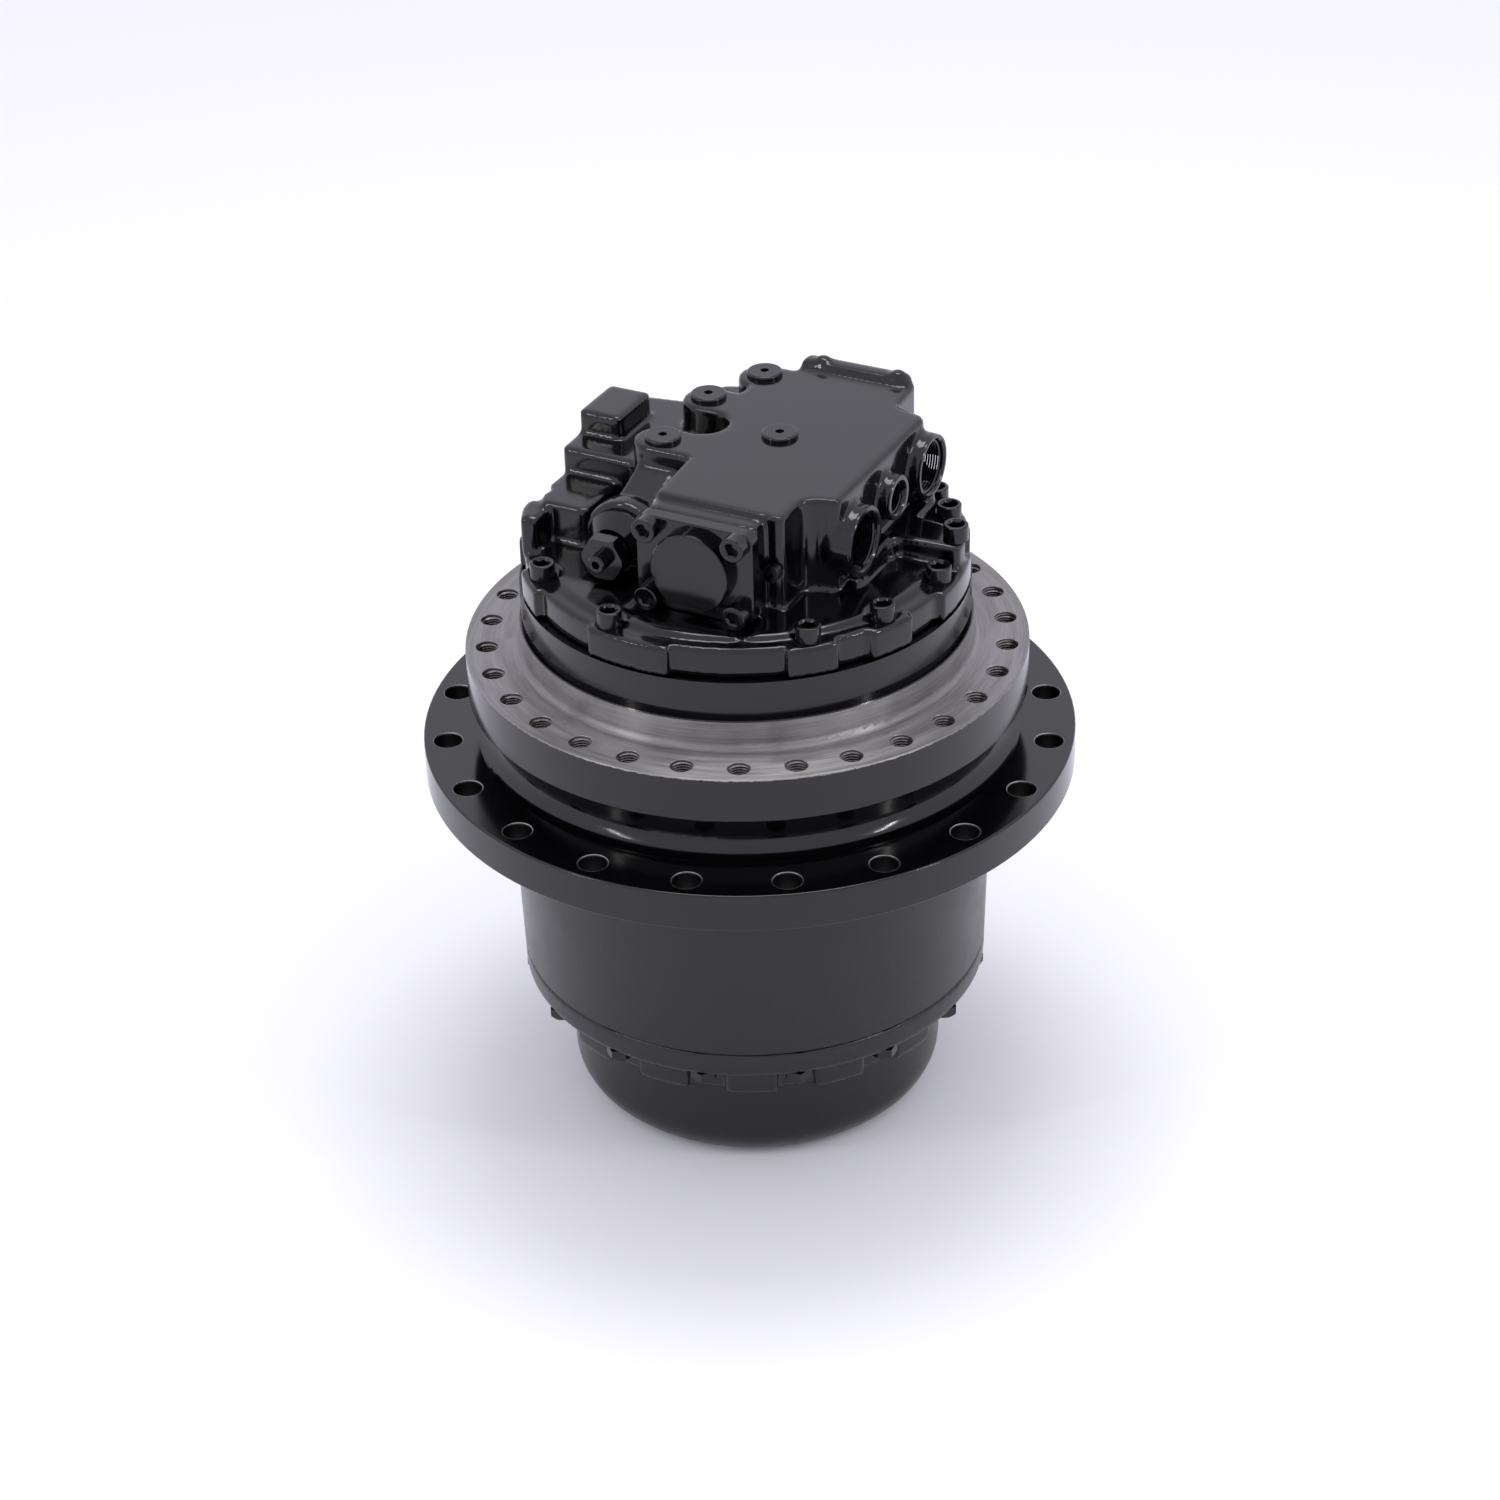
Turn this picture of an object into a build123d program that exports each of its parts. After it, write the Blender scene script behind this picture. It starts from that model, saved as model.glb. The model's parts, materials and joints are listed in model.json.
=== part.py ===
from build123d import *
import math
import os

# Excavator final drive: a two-stage planetary gearbox with a hydraulic travel motor inside its spindle.
# Millimetres. The origin is the centre of the face that bolts to the track frame.
# +Z runs along the axle towards the motor, and the output end with the domed cover is at -Z.

os.makedirs("parts", exist_ok=True)

# Frame flange of the spindle, which bolts to the track frame
frame_flange_r = 205.0
frame_flange_thickness = 34.5
frame_bolt_count = 30
frame_bolt_circle_r = 189.25
frame_bolt_first_angle = -92.5
frame_bolt_hole_r = 8.0
frame_bolt_hole_depth = 30.0
frame_pilot_r = 165.0
frame_pilot_height = 21.5

# Motor case above the pilot
case_r = 163.0
case_bottom_z = 28.5
case_top_z = 52.0
case_groove_r = 159.5
motor_cavity_r = 96.0
brake_cavity_r = 118.0
motor_floor_z = -95.0

# Sprocket flange and drum of the hub
sprocket_flange_r = 240.0
sprocket_flange_top_z = -71.5
sprocket_flange_thickness = 29.0
sprocket_bolt_count = 20
sprocket_bolt_circle_r = 222.2
sprocket_bolt_first_angle = -84.0
sprocket_bolt_hole_r = 10.5
sprocket_pilot_r = 181.0
sprocket_pilot_length = 18.0
neck_r = 186.0
neck_top_z = -38.0
neck_fillet_r = 14.0
drum_top_r = 179.0
drum_bottom_r = 175.3
drum_bottom_z = -253.0
ring_seat_r = 156.0

# Domed end cover
cover_band_bottom_z = -273.3
cover_ring_r = 161.5
cover_ring_bottom_z = -298.3
dome_r = 140.7
dome_corner_r = 29.4
dome_bottom_z = -377.8
dome_wall = 9.6
cover_bolt_count = 15
cover_bolt_circle_r = 164.5
cover_bolt_first_angle = -80.0
cover_bolt_r = 6.0
cover_bolt_head_height = 8.0
cover_pocket_half_width = 14.0
cover_plug_x = 75.0

# Valve head on top of the motor case; its own axes are turned against the row's X and Y
head_turn = -27.7
head_flange_top_z = 75.2
head_top_z = 150.7
deck_z = 127.7
corner_boss_top_z = 145.7
low_box_top_z = 108.7
lug_top_z = 104.0
ledge_top_z = 146.7
scallop_root_r = 157.5
head_bolt_circle_r = 150.5
head_bolt_r = 6.0
head_bolt_head_r = 9.0
head_bolt_head_height = 12.0
head_bolt_angles = (16, 38.5, 64, 100, 111, 134, 158, -178, -154, -130, -100, -72, -39)
raised_bolt_angle = 75.0
raised_bolt_circle_r = 154.0
raised_bolt_seat_z = 93.7
raised_bolt_r = 3.5

# Mouths of the bolt holes
hole_chamfer = 0.4

# Gear trains: the first stage drives the second, and both ring gears turn with the hub
pressure_angle = math.radians(25.0)
tooth_depth_above = 0.9
tooth_depth_below = 1.25
flank_gap = 0.17
stage_1_module = 3.0
stage_1_sun_teeth = 15
stage_1_planet_teeth = 33
stage_1_ring_teeth = 81
stage_1_planet_count = 3
stage_1_top_z = -303.0
stage_1_bottom_z = -335.0
stage_2_module = 4.0
stage_2_sun_teeth = 16
stage_2_planet_teeth = 28
stage_2_ring_teeth = 72
stage_2_planet_count = 4
stage_2_top_z = -163.0
stage_2_bottom_z = -219.0
stage_1_pin_r = 12.0
stage_2_pin_r = 16.0
pin_gap = 0.08
stage_1_centre_distance = stage_1_module * (stage_1_sun_teeth + stage_1_planet_teeth) / 2
stage_2_centre_distance = stage_2_module * (stage_2_sun_teeth + stage_2_planet_teeth) / 2

# Main bearings between the spindle and the hub
journal_r = 120.0
bearing_outer_r = 150.0
bearing_width = 28.0
upper_bearing_top_z = -72.0
lower_bearing_top_z = -108.0
ball_r = 8.5
ball_circle_r = 135.0
ball_count = 30
ball_gap = 0.3

# Travel motor
shaft_r = 20.0
block_r = 70.0
block_bottom_z = -22.0
block_top_z = 47.2
piston_count = 9
piston_circle_r = 48.0
piston_r = 9.9
piston_ball_z = -64.0
swash_top_z = -76.0


def turned(outline, radii=None):
    """A solid of revolution about Z from an outline of (radius, height) corners, with corner radii."""
    corner_radii = radii if radii else [0] * len(outline)
    edges = FilletPolyline(*outline, radius=corner_radii, close=True)
    return revolve(Plane.XZ * make_face(edges), Axis.Z)


def plate(outline, bottom, top, radii=None):
    """An upright prism between two heights from an outline of (x, y) corners, with corner radii."""
    corner_radii = radii if radii else [0] * len(outline)
    edges = FilletPolyline(*outline, radius=corner_radii, close=True)
    return Pos(0, 0, bottom) * extrude(make_face(edges), amount=top - bottom)


def block(x0, x1, y0, y1, z0, z1):
    """A rectangular block between two corners."""
    centre = Pos((x0 + x1) / 2, (y0 + y1) / 2, (z0 + z1) / 2)
    return centre * Box(x1 - x0, y1 - y0, z1 - z0)


def disc(radius, bottom, top):
    """A round disc or rod on the Z axis."""
    return Pos(0, 0, (bottom + top) / 2) * Cylinder(radius, top - bottom)


def tube(outer, inner, bottom, top):
    """A round tube on the Z axis."""
    return disc(outer, bottom, top) - disc(inner, bottom - 1, top + 1)


def around(radius, angle, height=0.0):
    """A place on a circle about Z, turned so that its own X points outwards."""
    return Rot(0, 0, angle) * Pos(radius, 0, height)


def hex_prism(across_flats, bottom, top):
    """A hexagonal prism on the Z axis."""
    corner_r = across_flats / math.sqrt(3)
    return Pos(0, 0, bottom) * extrude(RegularPolygon(corner_r, 6), amount=top - bottom)


def cone_under(lower_r, upper_r, height):
    """A cone whose top face lies on Z = 0."""
    return Cone(lower_r, upper_r, height, align=(Align.CENTER, Align.CENTER, Align.MAX))


def cone_above(lower_r, upper_r, height):
    """A cone whose bottom face lies on Z = 0."""
    return Cone(lower_r, upper_r, height, align=(Align.CENTER, Align.CENTER, Align.MIN))


def hole_mouth(hole_r):
    """The small chamfer at the mouth of a hole that opens upwards on Z = 0."""
    return Cone(hole_r, hole_r + 2 * hole_chamfer, 2 * hole_chamfer)


def socket_screw(head_r, head_height, shank_r, shank_length, socket):
    """A socket head cap screw: its head stands on Z = 0 and its shank hangs down."""
    head = disc(head_r, 0, head_height)
    head = fillet(head.edges().group_by(Axis.Z)[-1], head_r * 0.12)
    mouth_r = socket * 0.66
    mouth = Pos(0, 0, head_height) * cone_under(mouth_r * 0.5, mouth_r, mouth_r * 0.6)
    recess = hex_prism(socket, head_height * 0.42, head_height + 1)
    return head + disc(shank_r, -shank_length, 0) - recess - mouth


def involute(angle):
    """The involute function of a pressure angle."""
    return math.tan(angle) - angle


def gear_outline(teeth, module, inner_r, outer_r, half_width_change, first_angle):
    """Corners of a spur gear with flat-faceted involute flanks; a negative change thins the teeth."""
    pitch_r = module * teeth / 2
    base_r = pitch_r * math.cos(pressure_angle)
    half_pitch_angle = math.pi / (2 * teeth) + half_width_change / pitch_r
    flank = []
    facets = 3
    start_r = max(inner_r, base_r)
    radii = [start_r + (outer_r - start_r) * i / facets for i in range(facets + 1)]
    if inner_r < base_r:
        radii = [inner_r] + radii
    for r in radii:
        local_angle = math.acos(min(1.0, base_r / max(r, base_r)))
        flank.append((r, half_pitch_angle + involute(pressure_angle) - involute(local_angle)))
    corners = []
    for tooth in range(teeth):
        middle = first_angle + 2 * math.pi * tooth / teeth
        rising = [(r, middle - half) for r, half in flank]
        falling = [(r, middle + half) for r, half in reversed(flank)]
        corners += [(r * math.cos(a), r * math.sin(a)) for r, a in rising + falling]
    return corners


def prism_with_hole(outline, hole, bottom, top):
    """An upright prism between an outer and an inner closed line."""
    return Pos(0, 0, bottom) * extrude(Face(Wire(outline), [Wire(hole)]), amount=top - bottom)


def external_gear(teeth, module, bottom, top, first_angle, bore_r):
    """A spur gear on the Z axis."""
    pitch_r = module * teeth / 2
    root_r = pitch_r - tooth_depth_below * module
    tip_r = pitch_r + tooth_depth_above * module
    corners = gear_outline(teeth, module, root_r, tip_r, -flank_gap, first_angle)
    return prism_with_hole(Polyline(*corners, close=True), Edge.make_circle(bore_r), bottom, top)


def ring_gear(teeth, module, outer_r, bottom, top, first_space_angle):
    """An internal ring gear; its tooth spaces have the outline of an external gear's teeth."""
    pitch_r = module * teeth / 2
    tip_r = pitch_r - tooth_depth_above * module
    root_r = pitch_r + tooth_depth_below * module
    corners = gear_outline(teeth, module, tip_r, root_r, flank_gap, first_space_angle)
    return prism_with_hole(Edge.make_circle(outer_r), Polyline(*corners, close=True), bottom, top)


def planet_phase(place_angle, sun_teeth, planet_teeth, module):
    """The angle of a planet's tooth that meshes with a sun that has a tooth at angle 0."""
    pitch = math.pi * module
    sun_pitch_angle = 2 * math.pi / sun_teeth
    nearest_tooth = round(place_angle / sun_pitch_angle) * sun_pitch_angle
    sun_offset = (nearest_tooth - place_angle) * module * sun_teeth / 2
    return place_angle + math.pi - (sun_offset + pitch / 2) / (module * planet_teeth / 2)


def ring_phase(place_angle, phase, planet_teeth, ring_teeth, module):
    """The angle of a ring gear's tooth space that meshes with a placed planet."""
    planet_pitch_angle = 2 * math.pi / planet_teeth
    nearest_tooth = phase + round((place_angle - phase) / planet_pitch_angle) * planet_pitch_angle
    planet_offset = (nearest_tooth - place_angle) * module * planet_teeth / 2
    return place_angle + planet_offset / (module * ring_teeth / 2)


def in_head(shape):
    """Turn a shape from the valve head's own axes to the row's axes."""
    return Rot(0, 0, head_turn) * shape


def forward(u, z, front, back, radius):
    """A rod along the head's own Y axis between two depths; front is the more negative depth."""
    middle = (front + back) / 2
    return Pos(u, middle, z) * Rot(90, 0, 0) * Cylinder(radius, back - front)


def sideways(v, z, inner, outer, radius):
    """A rod along the head's own X axis."""
    return Pos((inner + outer) / 2, v, z) * Rot(0, 90, 0) * Cylinder(radius, outer - inner)


# Spindle with the frame flange and the motor case in one casting

def make_spindle_housing():
    outline = [
        (case_r, case_top_z),
        (case_r, case_bottom_z),
        (case_groove_r, case_bottom_z - 1.5),
        (case_groove_r, frame_pilot_height + 1),
        (frame_pilot_r - 0.8, frame_pilot_height + 1),
        (frame_pilot_r, frame_pilot_height),
        (frame_pilot_r, 0),
        (frame_flange_r, 0),
        (frame_flange_r, -frame_flange_thickness),
        (167.5, -frame_flange_thickness),
        (167.5, -50),
        (164, -50),
        (164, -36.5),
        (133, -36.5),
        (133, upper_bearing_top_z),
        (journal_r, upper_bearing_top_z),
        (journal_r, -136),
        (118, -136),
        (118, -148),
        (62, -148),
        (62, -134),
        (30, -134),
        (30, -120),
        (42, -120),
        (42, motor_floor_z),
        (motor_cavity_r, motor_floor_z),
        (motor_cavity_r, 0),
        (brake_cavity_r, 0),
        (brake_cavity_r, case_top_z),
    ]
    radii = [0] * len(outline)
    radii[6] = 5
    radii[7] = 1.2
    radii[8] = 1.5
    spindle = turned(outline, radii)
    holes = []
    for i in range(frame_bolt_count):
        place = around(frame_bolt_circle_r, frame_bolt_first_angle + i * 360 / frame_bolt_count)
        holes.append(place * disc(frame_bolt_hole_r, -frame_bolt_hole_depth, 1))
        holes.append(place * hole_mouth(frame_bolt_hole_r))
    for angle in head_bolt_angles:
        place = around(head_bolt_circle_r, angle - 90)
        holes.append(place * disc(head_bolt_r, case_top_z - 24, case_top_z + 1))
    place = around(raised_bolt_circle_r, raised_bolt_angle - 90)
    holes.append(place * disc(raised_bolt_r, case_top_z - 12, case_top_z + 1))
    return spindle - holes


# Hub with the sprocket flange, and its domed cover

def make_hub_housing():
    flange_bottom_z = sprocket_flange_top_z - sprocket_flange_thickness
    pilot_end_z = flange_bottom_z - sprocket_pilot_length
    outline = [
        (neck_r, neck_top_z),
        (neck_r, sprocket_flange_top_z),
        (sprocket_flange_r, sprocket_flange_top_z),
        (sprocket_flange_r, flange_bottom_z),
        (sprocket_pilot_r, flange_bottom_z),
        (sprocket_pilot_r, pilot_end_z),
        (drum_top_r, pilot_end_z - 2),
        (drum_bottom_r, drum_bottom_z),
        (ring_seat_r, drum_bottom_z),
        (ring_seat_r, -157),
        (bearing_outer_r, -157),
        (bearing_outer_r, lower_bearing_top_z),
        (144, lower_bearing_top_z),
        (144, upper_bearing_top_z - bearing_width),
        (bearing_outer_r, upper_bearing_top_z - bearing_width),
        (bearing_outer_r, -70),
        (164, -70),
        (164, -54),
        (168, -54),
        (168, neck_top_z),
    ]
    radii = [0] * len(outline)
    radii[0] = 1.5
    radii[1] = neck_fillet_r
    radii[2] = 1.5
    radii[3] = 1.5
    radii[7] = 1
    hub = turned(outline, radii)
    holes = []
    for i in range(sprocket_bolt_count):
        place = around(sprocket_bolt_circle_r, sprocket_bolt_first_angle + i * 360 / sprocket_bolt_count)
        holes.append(place * disc(sprocket_bolt_hole_r, flange_bottom_z - 1, sprocket_flange_top_z + 1))
        holes.append(place * Pos(0, 0, sprocket_flange_top_z) * hole_mouth(sprocket_bolt_hole_r))
        holes.append(place * Pos(0, 0, flange_bottom_z) * Rot(180, 0, 0) * hole_mouth(sprocket_bolt_hole_r))
    for place in cover_bolt_places():
        holes.append(place * disc(cover_bolt_r, drum_bottom_z - 1, drum_bottom_z + 24))
    return hub - holes


def make_end_cover():
    inner_r = dome_r - dome_wall
    inner_bottom_z = dome_bottom_z + dome_wall
    outline = [
        (drum_bottom_r, drum_bottom_z),
        (drum_bottom_r - 0.4, cover_band_bottom_z),
        (cover_ring_r, cover_band_bottom_z),
        (cover_ring_r, cover_ring_bottom_z),
        (dome_r, cover_ring_bottom_z - 1.5),
        (dome_r, dome_bottom_z),
        (0, dome_bottom_z),
        (0, inner_bottom_z),
        (inner_r, inner_bottom_z),
        (inner_r, -290),
        (146, -290),
        (146, -246),
        (ring_seat_r - 0.1, -246),
        (ring_seat_r - 0.1, drum_bottom_z),
    ]
    radii = [0] * len(outline)
    radii[0] = 0.8
    radii[1] = 3
    radii[3] = 3.5
    radii[4] = 5
    radii[5] = dome_corner_r
    radii[8] = dome_corner_r - dome_wall
    cover = turned(outline, radii)
    for side in (-1, 1):
        boss = disc(17, dome_bottom_z + 8, dome_bottom_z + dome_wall + 8)
        cover += Pos(side * cover_plug_x, 0, 0) * boss
    half_width = cover_pocket_half_width
    pocket = block(153.5 - cover_bolt_circle_r, 25, -half_width, half_width, -310, cover_band_bottom_z)
    bolt_hole = disc(cover_bolt_r + 0.5, cover_band_bottom_z - 1, drum_bottom_z + 1)
    cuts = [place * pocket for place in cover_bolt_places()]
    cuts += [place * bolt_hole for place in cover_bolt_places()]
    for side in (-1, 1):
        cuts.append(Pos(side * cover_plug_x, 0, 0) * disc(13.5, dome_bottom_z - 1, dome_bottom_z + 6))
        cuts.append(Pos(side * cover_plug_x, 0, 0) * disc(8, dome_bottom_z, dome_bottom_z + 30))
    return cover - cuts


def cover_bolt_places():
    step = 360 / cover_bolt_count
    return [around(cover_bolt_circle_r, cover_bolt_first_angle + i * step) for i in range(cover_bolt_count)]


def make_cover_bolts():
    head_bottom_z = cover_band_bottom_z - cover_bolt_head_height
    bolt = hex_prism(18, head_bottom_z, cover_band_bottom_z)
    bolt += disc(cover_bolt_r, cover_band_bottom_z - 4, drum_bottom_z + 20)
    crown = Pos(0, 0, head_bottom_z) * cone_above(8.6, 14, 5.4)
    bolt = bolt & (crown + disc(14, cover_band_bottom_z - 2.7, drum_bottom_z + 21))
    return [place * bolt for place in cover_bolt_places()]


def make_cover_plugs():
    plug = disc(13, dome_bottom_z + 0.8, dome_bottom_z + 6)
    plug += disc(7.9, dome_bottom_z + 5, dome_bottom_z + 20)
    plug = chamfer(plug.edges().group_by(Axis.Z)[0], 0.8)
    plug -= hex_prism(10, dome_bottom_z - 1, dome_bottom_z + 7)
    return [Pos(side * cover_plug_x, 0, 0) * plug for side in (-1, 1)]


# Floating face seal between the frame flange and the hub: two lapped rings, each on a rubber ring

seal_face_z = -52.0


def seal_ring(side):
    """One lapped ring; side is +1 towards the motor and -1 towards the output."""
    outline = [
        (141, seal_face_z + side * 0.05),
        (152, seal_face_z + side * 0.05),
        (152, seal_face_z + side * 4.5),
        (147, seal_face_z + side * 13),
        (141, seal_face_z + side * 13),
    ]
    return turned(outline)


def seal_rubber(side):
    return Pos(0, 0, seal_face_z + side * 7.6) * Torus(157.8, 5.6)


# Main bearings

def bearing_races(top_z):
    """The inner and outer race of a ball bearing, with grooves that clear the balls."""
    middle_z = top_z - bearing_width / 2
    groove = Pos(0, 0, middle_z) * Torus(ball_circle_r, ball_r + ball_gap)
    inner = tube(131, journal_r + 0.02, top_z - bearing_width + 0.1, top_z - 0.1) - groove
    outer = tube(bearing_outer_r - 0.02, 139, top_z - bearing_width + 0.1, top_z - 0.1) - groove
    return inner, outer


def bearing_balls(top_z):
    middle_z = top_z - bearing_width / 2
    ball = Sphere(ball_r)
    return [around(ball_circle_r, i * 360 / ball_count, middle_z) * ball for i in range(ball_count)]


def bearing_cage(top_z):
    middle_z = top_z - bearing_width / 2
    ring = tube(136.8, 133.2, middle_z - 11, middle_z + 11)
    window = Rot(0, 90, 0) * Cylinder(ball_r + 0.2, 20)
    return ring - [around(ball_circle_r, i * 360 / ball_count, middle_z) * window for i in range(ball_count)]


def make_bearing_nut():
    nut = tube(133, 118.05, -146.2, -136.2)
    slots = [around(133, i * 45, -141) * Box(12, 10, 20) for i in range(8)]
    return nut - slots


# Second stage: its planets turn on pins that the spindle holds

def stage_2_places():
    step = 360 / stage_2_planet_count
    return [around(stage_2_centre_distance, 45 + i * step) for i in range(stage_2_planet_count)]


def make_stage_2_carrier():
    carrier = tube(136, 40, -160.3, -148.3) + tube(61.9, 40, -150, -135)
    return carrier - [place * disc(stage_2_pin_r, -170, -140) for place in stage_2_places()]


def make_stage_2_pins():
    pin = disc(stage_2_pin_r - 0.02, -236, -149)
    pin = chamfer(pin.edges().filter_by(GeomType.CIRCLE), 1)
    return [place * pin for place in stage_2_places()]


def make_stage_2_retainer():
    retainer = tube(112, 45, -235, -223)
    return retainer - [place * disc(stage_2_pin_r, -240, -220) for place in stage_2_places()]


def make_planet(stage, index):
    """A planet gear in mesh with the sun and the ring gear of its stage, with a running fit on its pin."""
    if stage == 1:
        angle = math.radians(90 + index * 360 / stage_1_planet_count)
        sun_teeth, teeth, module = stage_1_sun_teeth, stage_1_planet_teeth, stage_1_module
        bottom, top = stage_1_bottom_z, stage_1_top_z
        bore_r = stage_1_pin_r + pin_gap
        radius = stage_1_centre_distance
    else:
        angle = math.radians(45 + index * 360 / stage_2_planet_count)
        sun_teeth, teeth, module = stage_2_sun_teeth, stage_2_planet_teeth, stage_2_module
        bottom, top = stage_2_bottom_z, stage_2_top_z
        bore_r = stage_2_pin_r + pin_gap
        radius = stage_2_centre_distance
    phase = planet_phase(angle, sun_teeth, teeth, module)
    gear = external_gear(teeth, module, bottom, top, phase, bore_r)
    return Pos(radius * math.cos(angle), radius * math.sin(angle), 0) * gear


def make_ring(stage):
    if stage == 1:
        place = math.radians(90)
        phase = planet_phase(place, stage_1_sun_teeth, stage_1_planet_teeth, stage_1_module)
        space = ring_phase(place, phase, stage_1_planet_teeth, stage_1_ring_teeth, stage_1_module)
        outer_r = dome_r - dome_wall - 0.05
        return ring_gear(stage_1_ring_teeth, stage_1_module, outer_r, -338, -300, space)
    place = math.radians(45)
    phase = planet_phase(place, stage_2_sun_teeth, stage_2_planet_teeth, stage_2_module)
    space = ring_phase(place, phase, stage_2_planet_teeth, stage_2_ring_teeth, stage_2_module)
    return ring_gear(stage_2_ring_teeth, stage_2_module, ring_seat_r - 0.05, -225, -157.2, space)


def make_sun_gear_2():
    bore_r = 17
    gear = external_gear(stage_2_sun_teeth, stage_2_module, stage_2_bottom_z, stage_2_top_z, 0, bore_r)
    gear += tube(26, bore_r, -284, stage_2_bottom_z)
    return gear + tube(23.9, bore_r, -297, -284)


def make_sun_gear_1():
    rod_r = 12.9
    gear = external_gear(stage_1_sun_teeth, stage_1_module, stage_1_bottom_z, stage_1_top_z, 0, rod_r)
    gear += disc(rod_r, -364, -126)
    return chamfer(gear.edges().filter_by(GeomType.CIRCLE).group_by(Axis.Z)[0], 1)


# First stage: a cage of two plates and three pillars, which drives the second sun gear

def stage_1_places():
    step = 360 / stage_1_planet_count
    return [around(stage_1_centre_distance, 90 + i * step) for i in range(stage_1_planet_count)]


def make_carrier_1():
    cage = tube(112, 24, -297, -284) + tube(108, 30, -353, -341)
    for i in range(stage_1_planet_count):
        cage += around(94, 30 + i * 360 / stage_1_planet_count) * disc(12, -350, -290)
    return cage - [place * disc(stage_1_pin_r, -360, -280) for place in stage_1_places()]


def make_carrier_1_pins():
    pin = disc(stage_1_pin_r - 0.02, -352, -285)
    pin = chamfer(pin.edges().filter_by(GeomType.CIRCLE), 1)
    return [place * pin for place in stage_1_places()]


# Travel motor: shaft, cylinder block with pistons and shoes, swash plate and valve plate

def make_input_shaft():
    outline = [
        (0, 63),
        (shaft_r - 0.06, 63),
        (shaft_r - 0.06, -91),
        (28, -91),
        (28, -95.5),
        (24.98, -95.5),
        (24.98, -119.5),
        (22, -119.5),
        (22, -158),
        (13, -158),
        (13, -125),
        (0, -125),
    ]
    return turned(outline)


def make_shaft_bearing_outer():
    return tube(41.98, 35, -119.9, -96)


def make_shaft_bearing_inner():
    roller = disc(2.3, -117, -99)
    rollers = [around(32.4, i * 24) * roller for i in range(15)]
    return [tube(30, 25, -119, -96)] + rollers


def piston_places():
    return [around(piston_circle_r, i * 360 / piston_count) for i in range(piston_count)]


def make_cylinder_block():
    body = tube(block_r, shaft_r, block_bottom_z, block_top_z)
    bores = [place * disc(piston_r + 0.1, block_bottom_z - 1, 38) for place in piston_places()]
    oil_ways = [place * disc(5, 37, block_top_z + 1) for place in piston_places()]
    return body - (bores + oil_ways)


def make_pistons():
    ball_end = Pos(0, 0, piston_ball_z) * Sphere(7.5)
    piston = disc(piston_r, -56, 30) + disc(6, -62, -55) + ball_end
    return [place * piston for place in piston_places()]


def make_piston_shoes():
    shoe = disc(13, swash_top_z + 0.3, -71) + disc(10.5, -72, -62)
    shoe -= Pos(0, 0, piston_ball_z) * Sphere(7.6)
    return [place * shoe for place in piston_places()]


def make_retainer_plate():
    body = tube(68, 26, -70.7, -67.5)
    return body - [place * disc(10.8, -72, -66) for place in piston_places()]


def make_valve_plate():
    body = tube(block_r, 26, 47.5, 51.8)
    slot = make_face(Polyline(*kidney_outline(), close=True))
    slot = Pos(0, 0, 46) * extrude(slot, amount=8)
    return body - [slot, Rot(0, 0, 180) * slot]


def kidney_outline():
    """Corners of the kidney-shaped port that feeds one side of the block."""
    angles = [math.radians(a) for a in range(-62, 63, 4)]
    outside = [(53 * math.cos(a), 53 * math.sin(a)) for a in angles]
    inside = [(43 * math.cos(a), 43 * math.sin(a)) for a in reversed(angles)]
    return outside + inside


# Parking brake: friction plates on the block, steel plates in the case, sprung piston above

brake_plate_step = 3.3


def make_brake_steel_plates():
    plates = []
    for i in range(4):
        bottom = 0.2 + 2 * i * brake_plate_step
        plates.append(tube(116, 78, bottom, bottom + 3))
    return plates


def make_brake_friction_plates():
    plates = []
    for i in range(3):
        bottom = 0.2 + (2 * i + 1) * brake_plate_step
        plates.append(tube(104, block_r + 0.2, bottom, bottom + 3))
    return plates


brake_piston_bottom_z = 0.2 + 6 * brake_plate_step + 3.2
brake_spring_count = 8
brake_spring_circle_r = 97.0
brake_spring_foot_z = 30.0
brake_spring_head_z = case_top_z - 0.2


def brake_spring_places(height=0.0):
    step = 360 / brake_spring_count
    return [around(brake_spring_circle_r, i * step, height) for i in range(brake_spring_count)]


def make_brake_piston():
    body = tube(brake_cavity_r - 0.35, 76, brake_piston_bottom_z, 42)
    return body - [place * disc(8.5, brake_spring_foot_z, 43) for place in brake_spring_places()]


def make_brake_springs():
    wire_r = 1.3
    coil_r = 6.0
    foot = brake_spring_foot_z + wire_r + 0.1
    height = brake_spring_head_z - brake_spring_foot_z - 2 * wire_r - 0.2
    path = Helix(pitch=height / 4, height=height, radius=coil_r)
    section = Plane(origin=path @ 0, z_dir=path % 0) * Circle(wire_r)
    spring = sweep(section, path=path)
    return [place * spring for place in brake_spring_places(foot)]


# Valve head

cover_centre_u = 20.0
cover_centre_z = 112.7
cover_bolt_u = 34.0
cover_bolt_z = 26.5
cover_back_v = -104.0
cover_face_v = -114.0
cover_seat_z = 77.0
relief_u = -57.5
relief_z = 98.7
relief_seat_v = -76.0
relief_barrel_r = 27.0
relief_screw_r = 6.5
spool_r = 14.0
spool_front_v = -92.0
spool_back_v = 58.0
main_port_face_u = 109.0
port_1_v = -26.7
port_1_z = 111.5
port_2_v = 27.4
port_2_z = 120.0
port_3_v = 85.7
port_3_z = 117.6
plug_places = [(-57.0, -12.2), (-58.6, 61.1), (-38.1, 111.1), (16.8, 25.8)]
plug_r = 13.2
plug_height = 3.4
plug_neck_r = 8.0
check_plug_u = 68.7
check_plug_z = 110.0
head_floor_z = head_flange_top_z - 2


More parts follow.
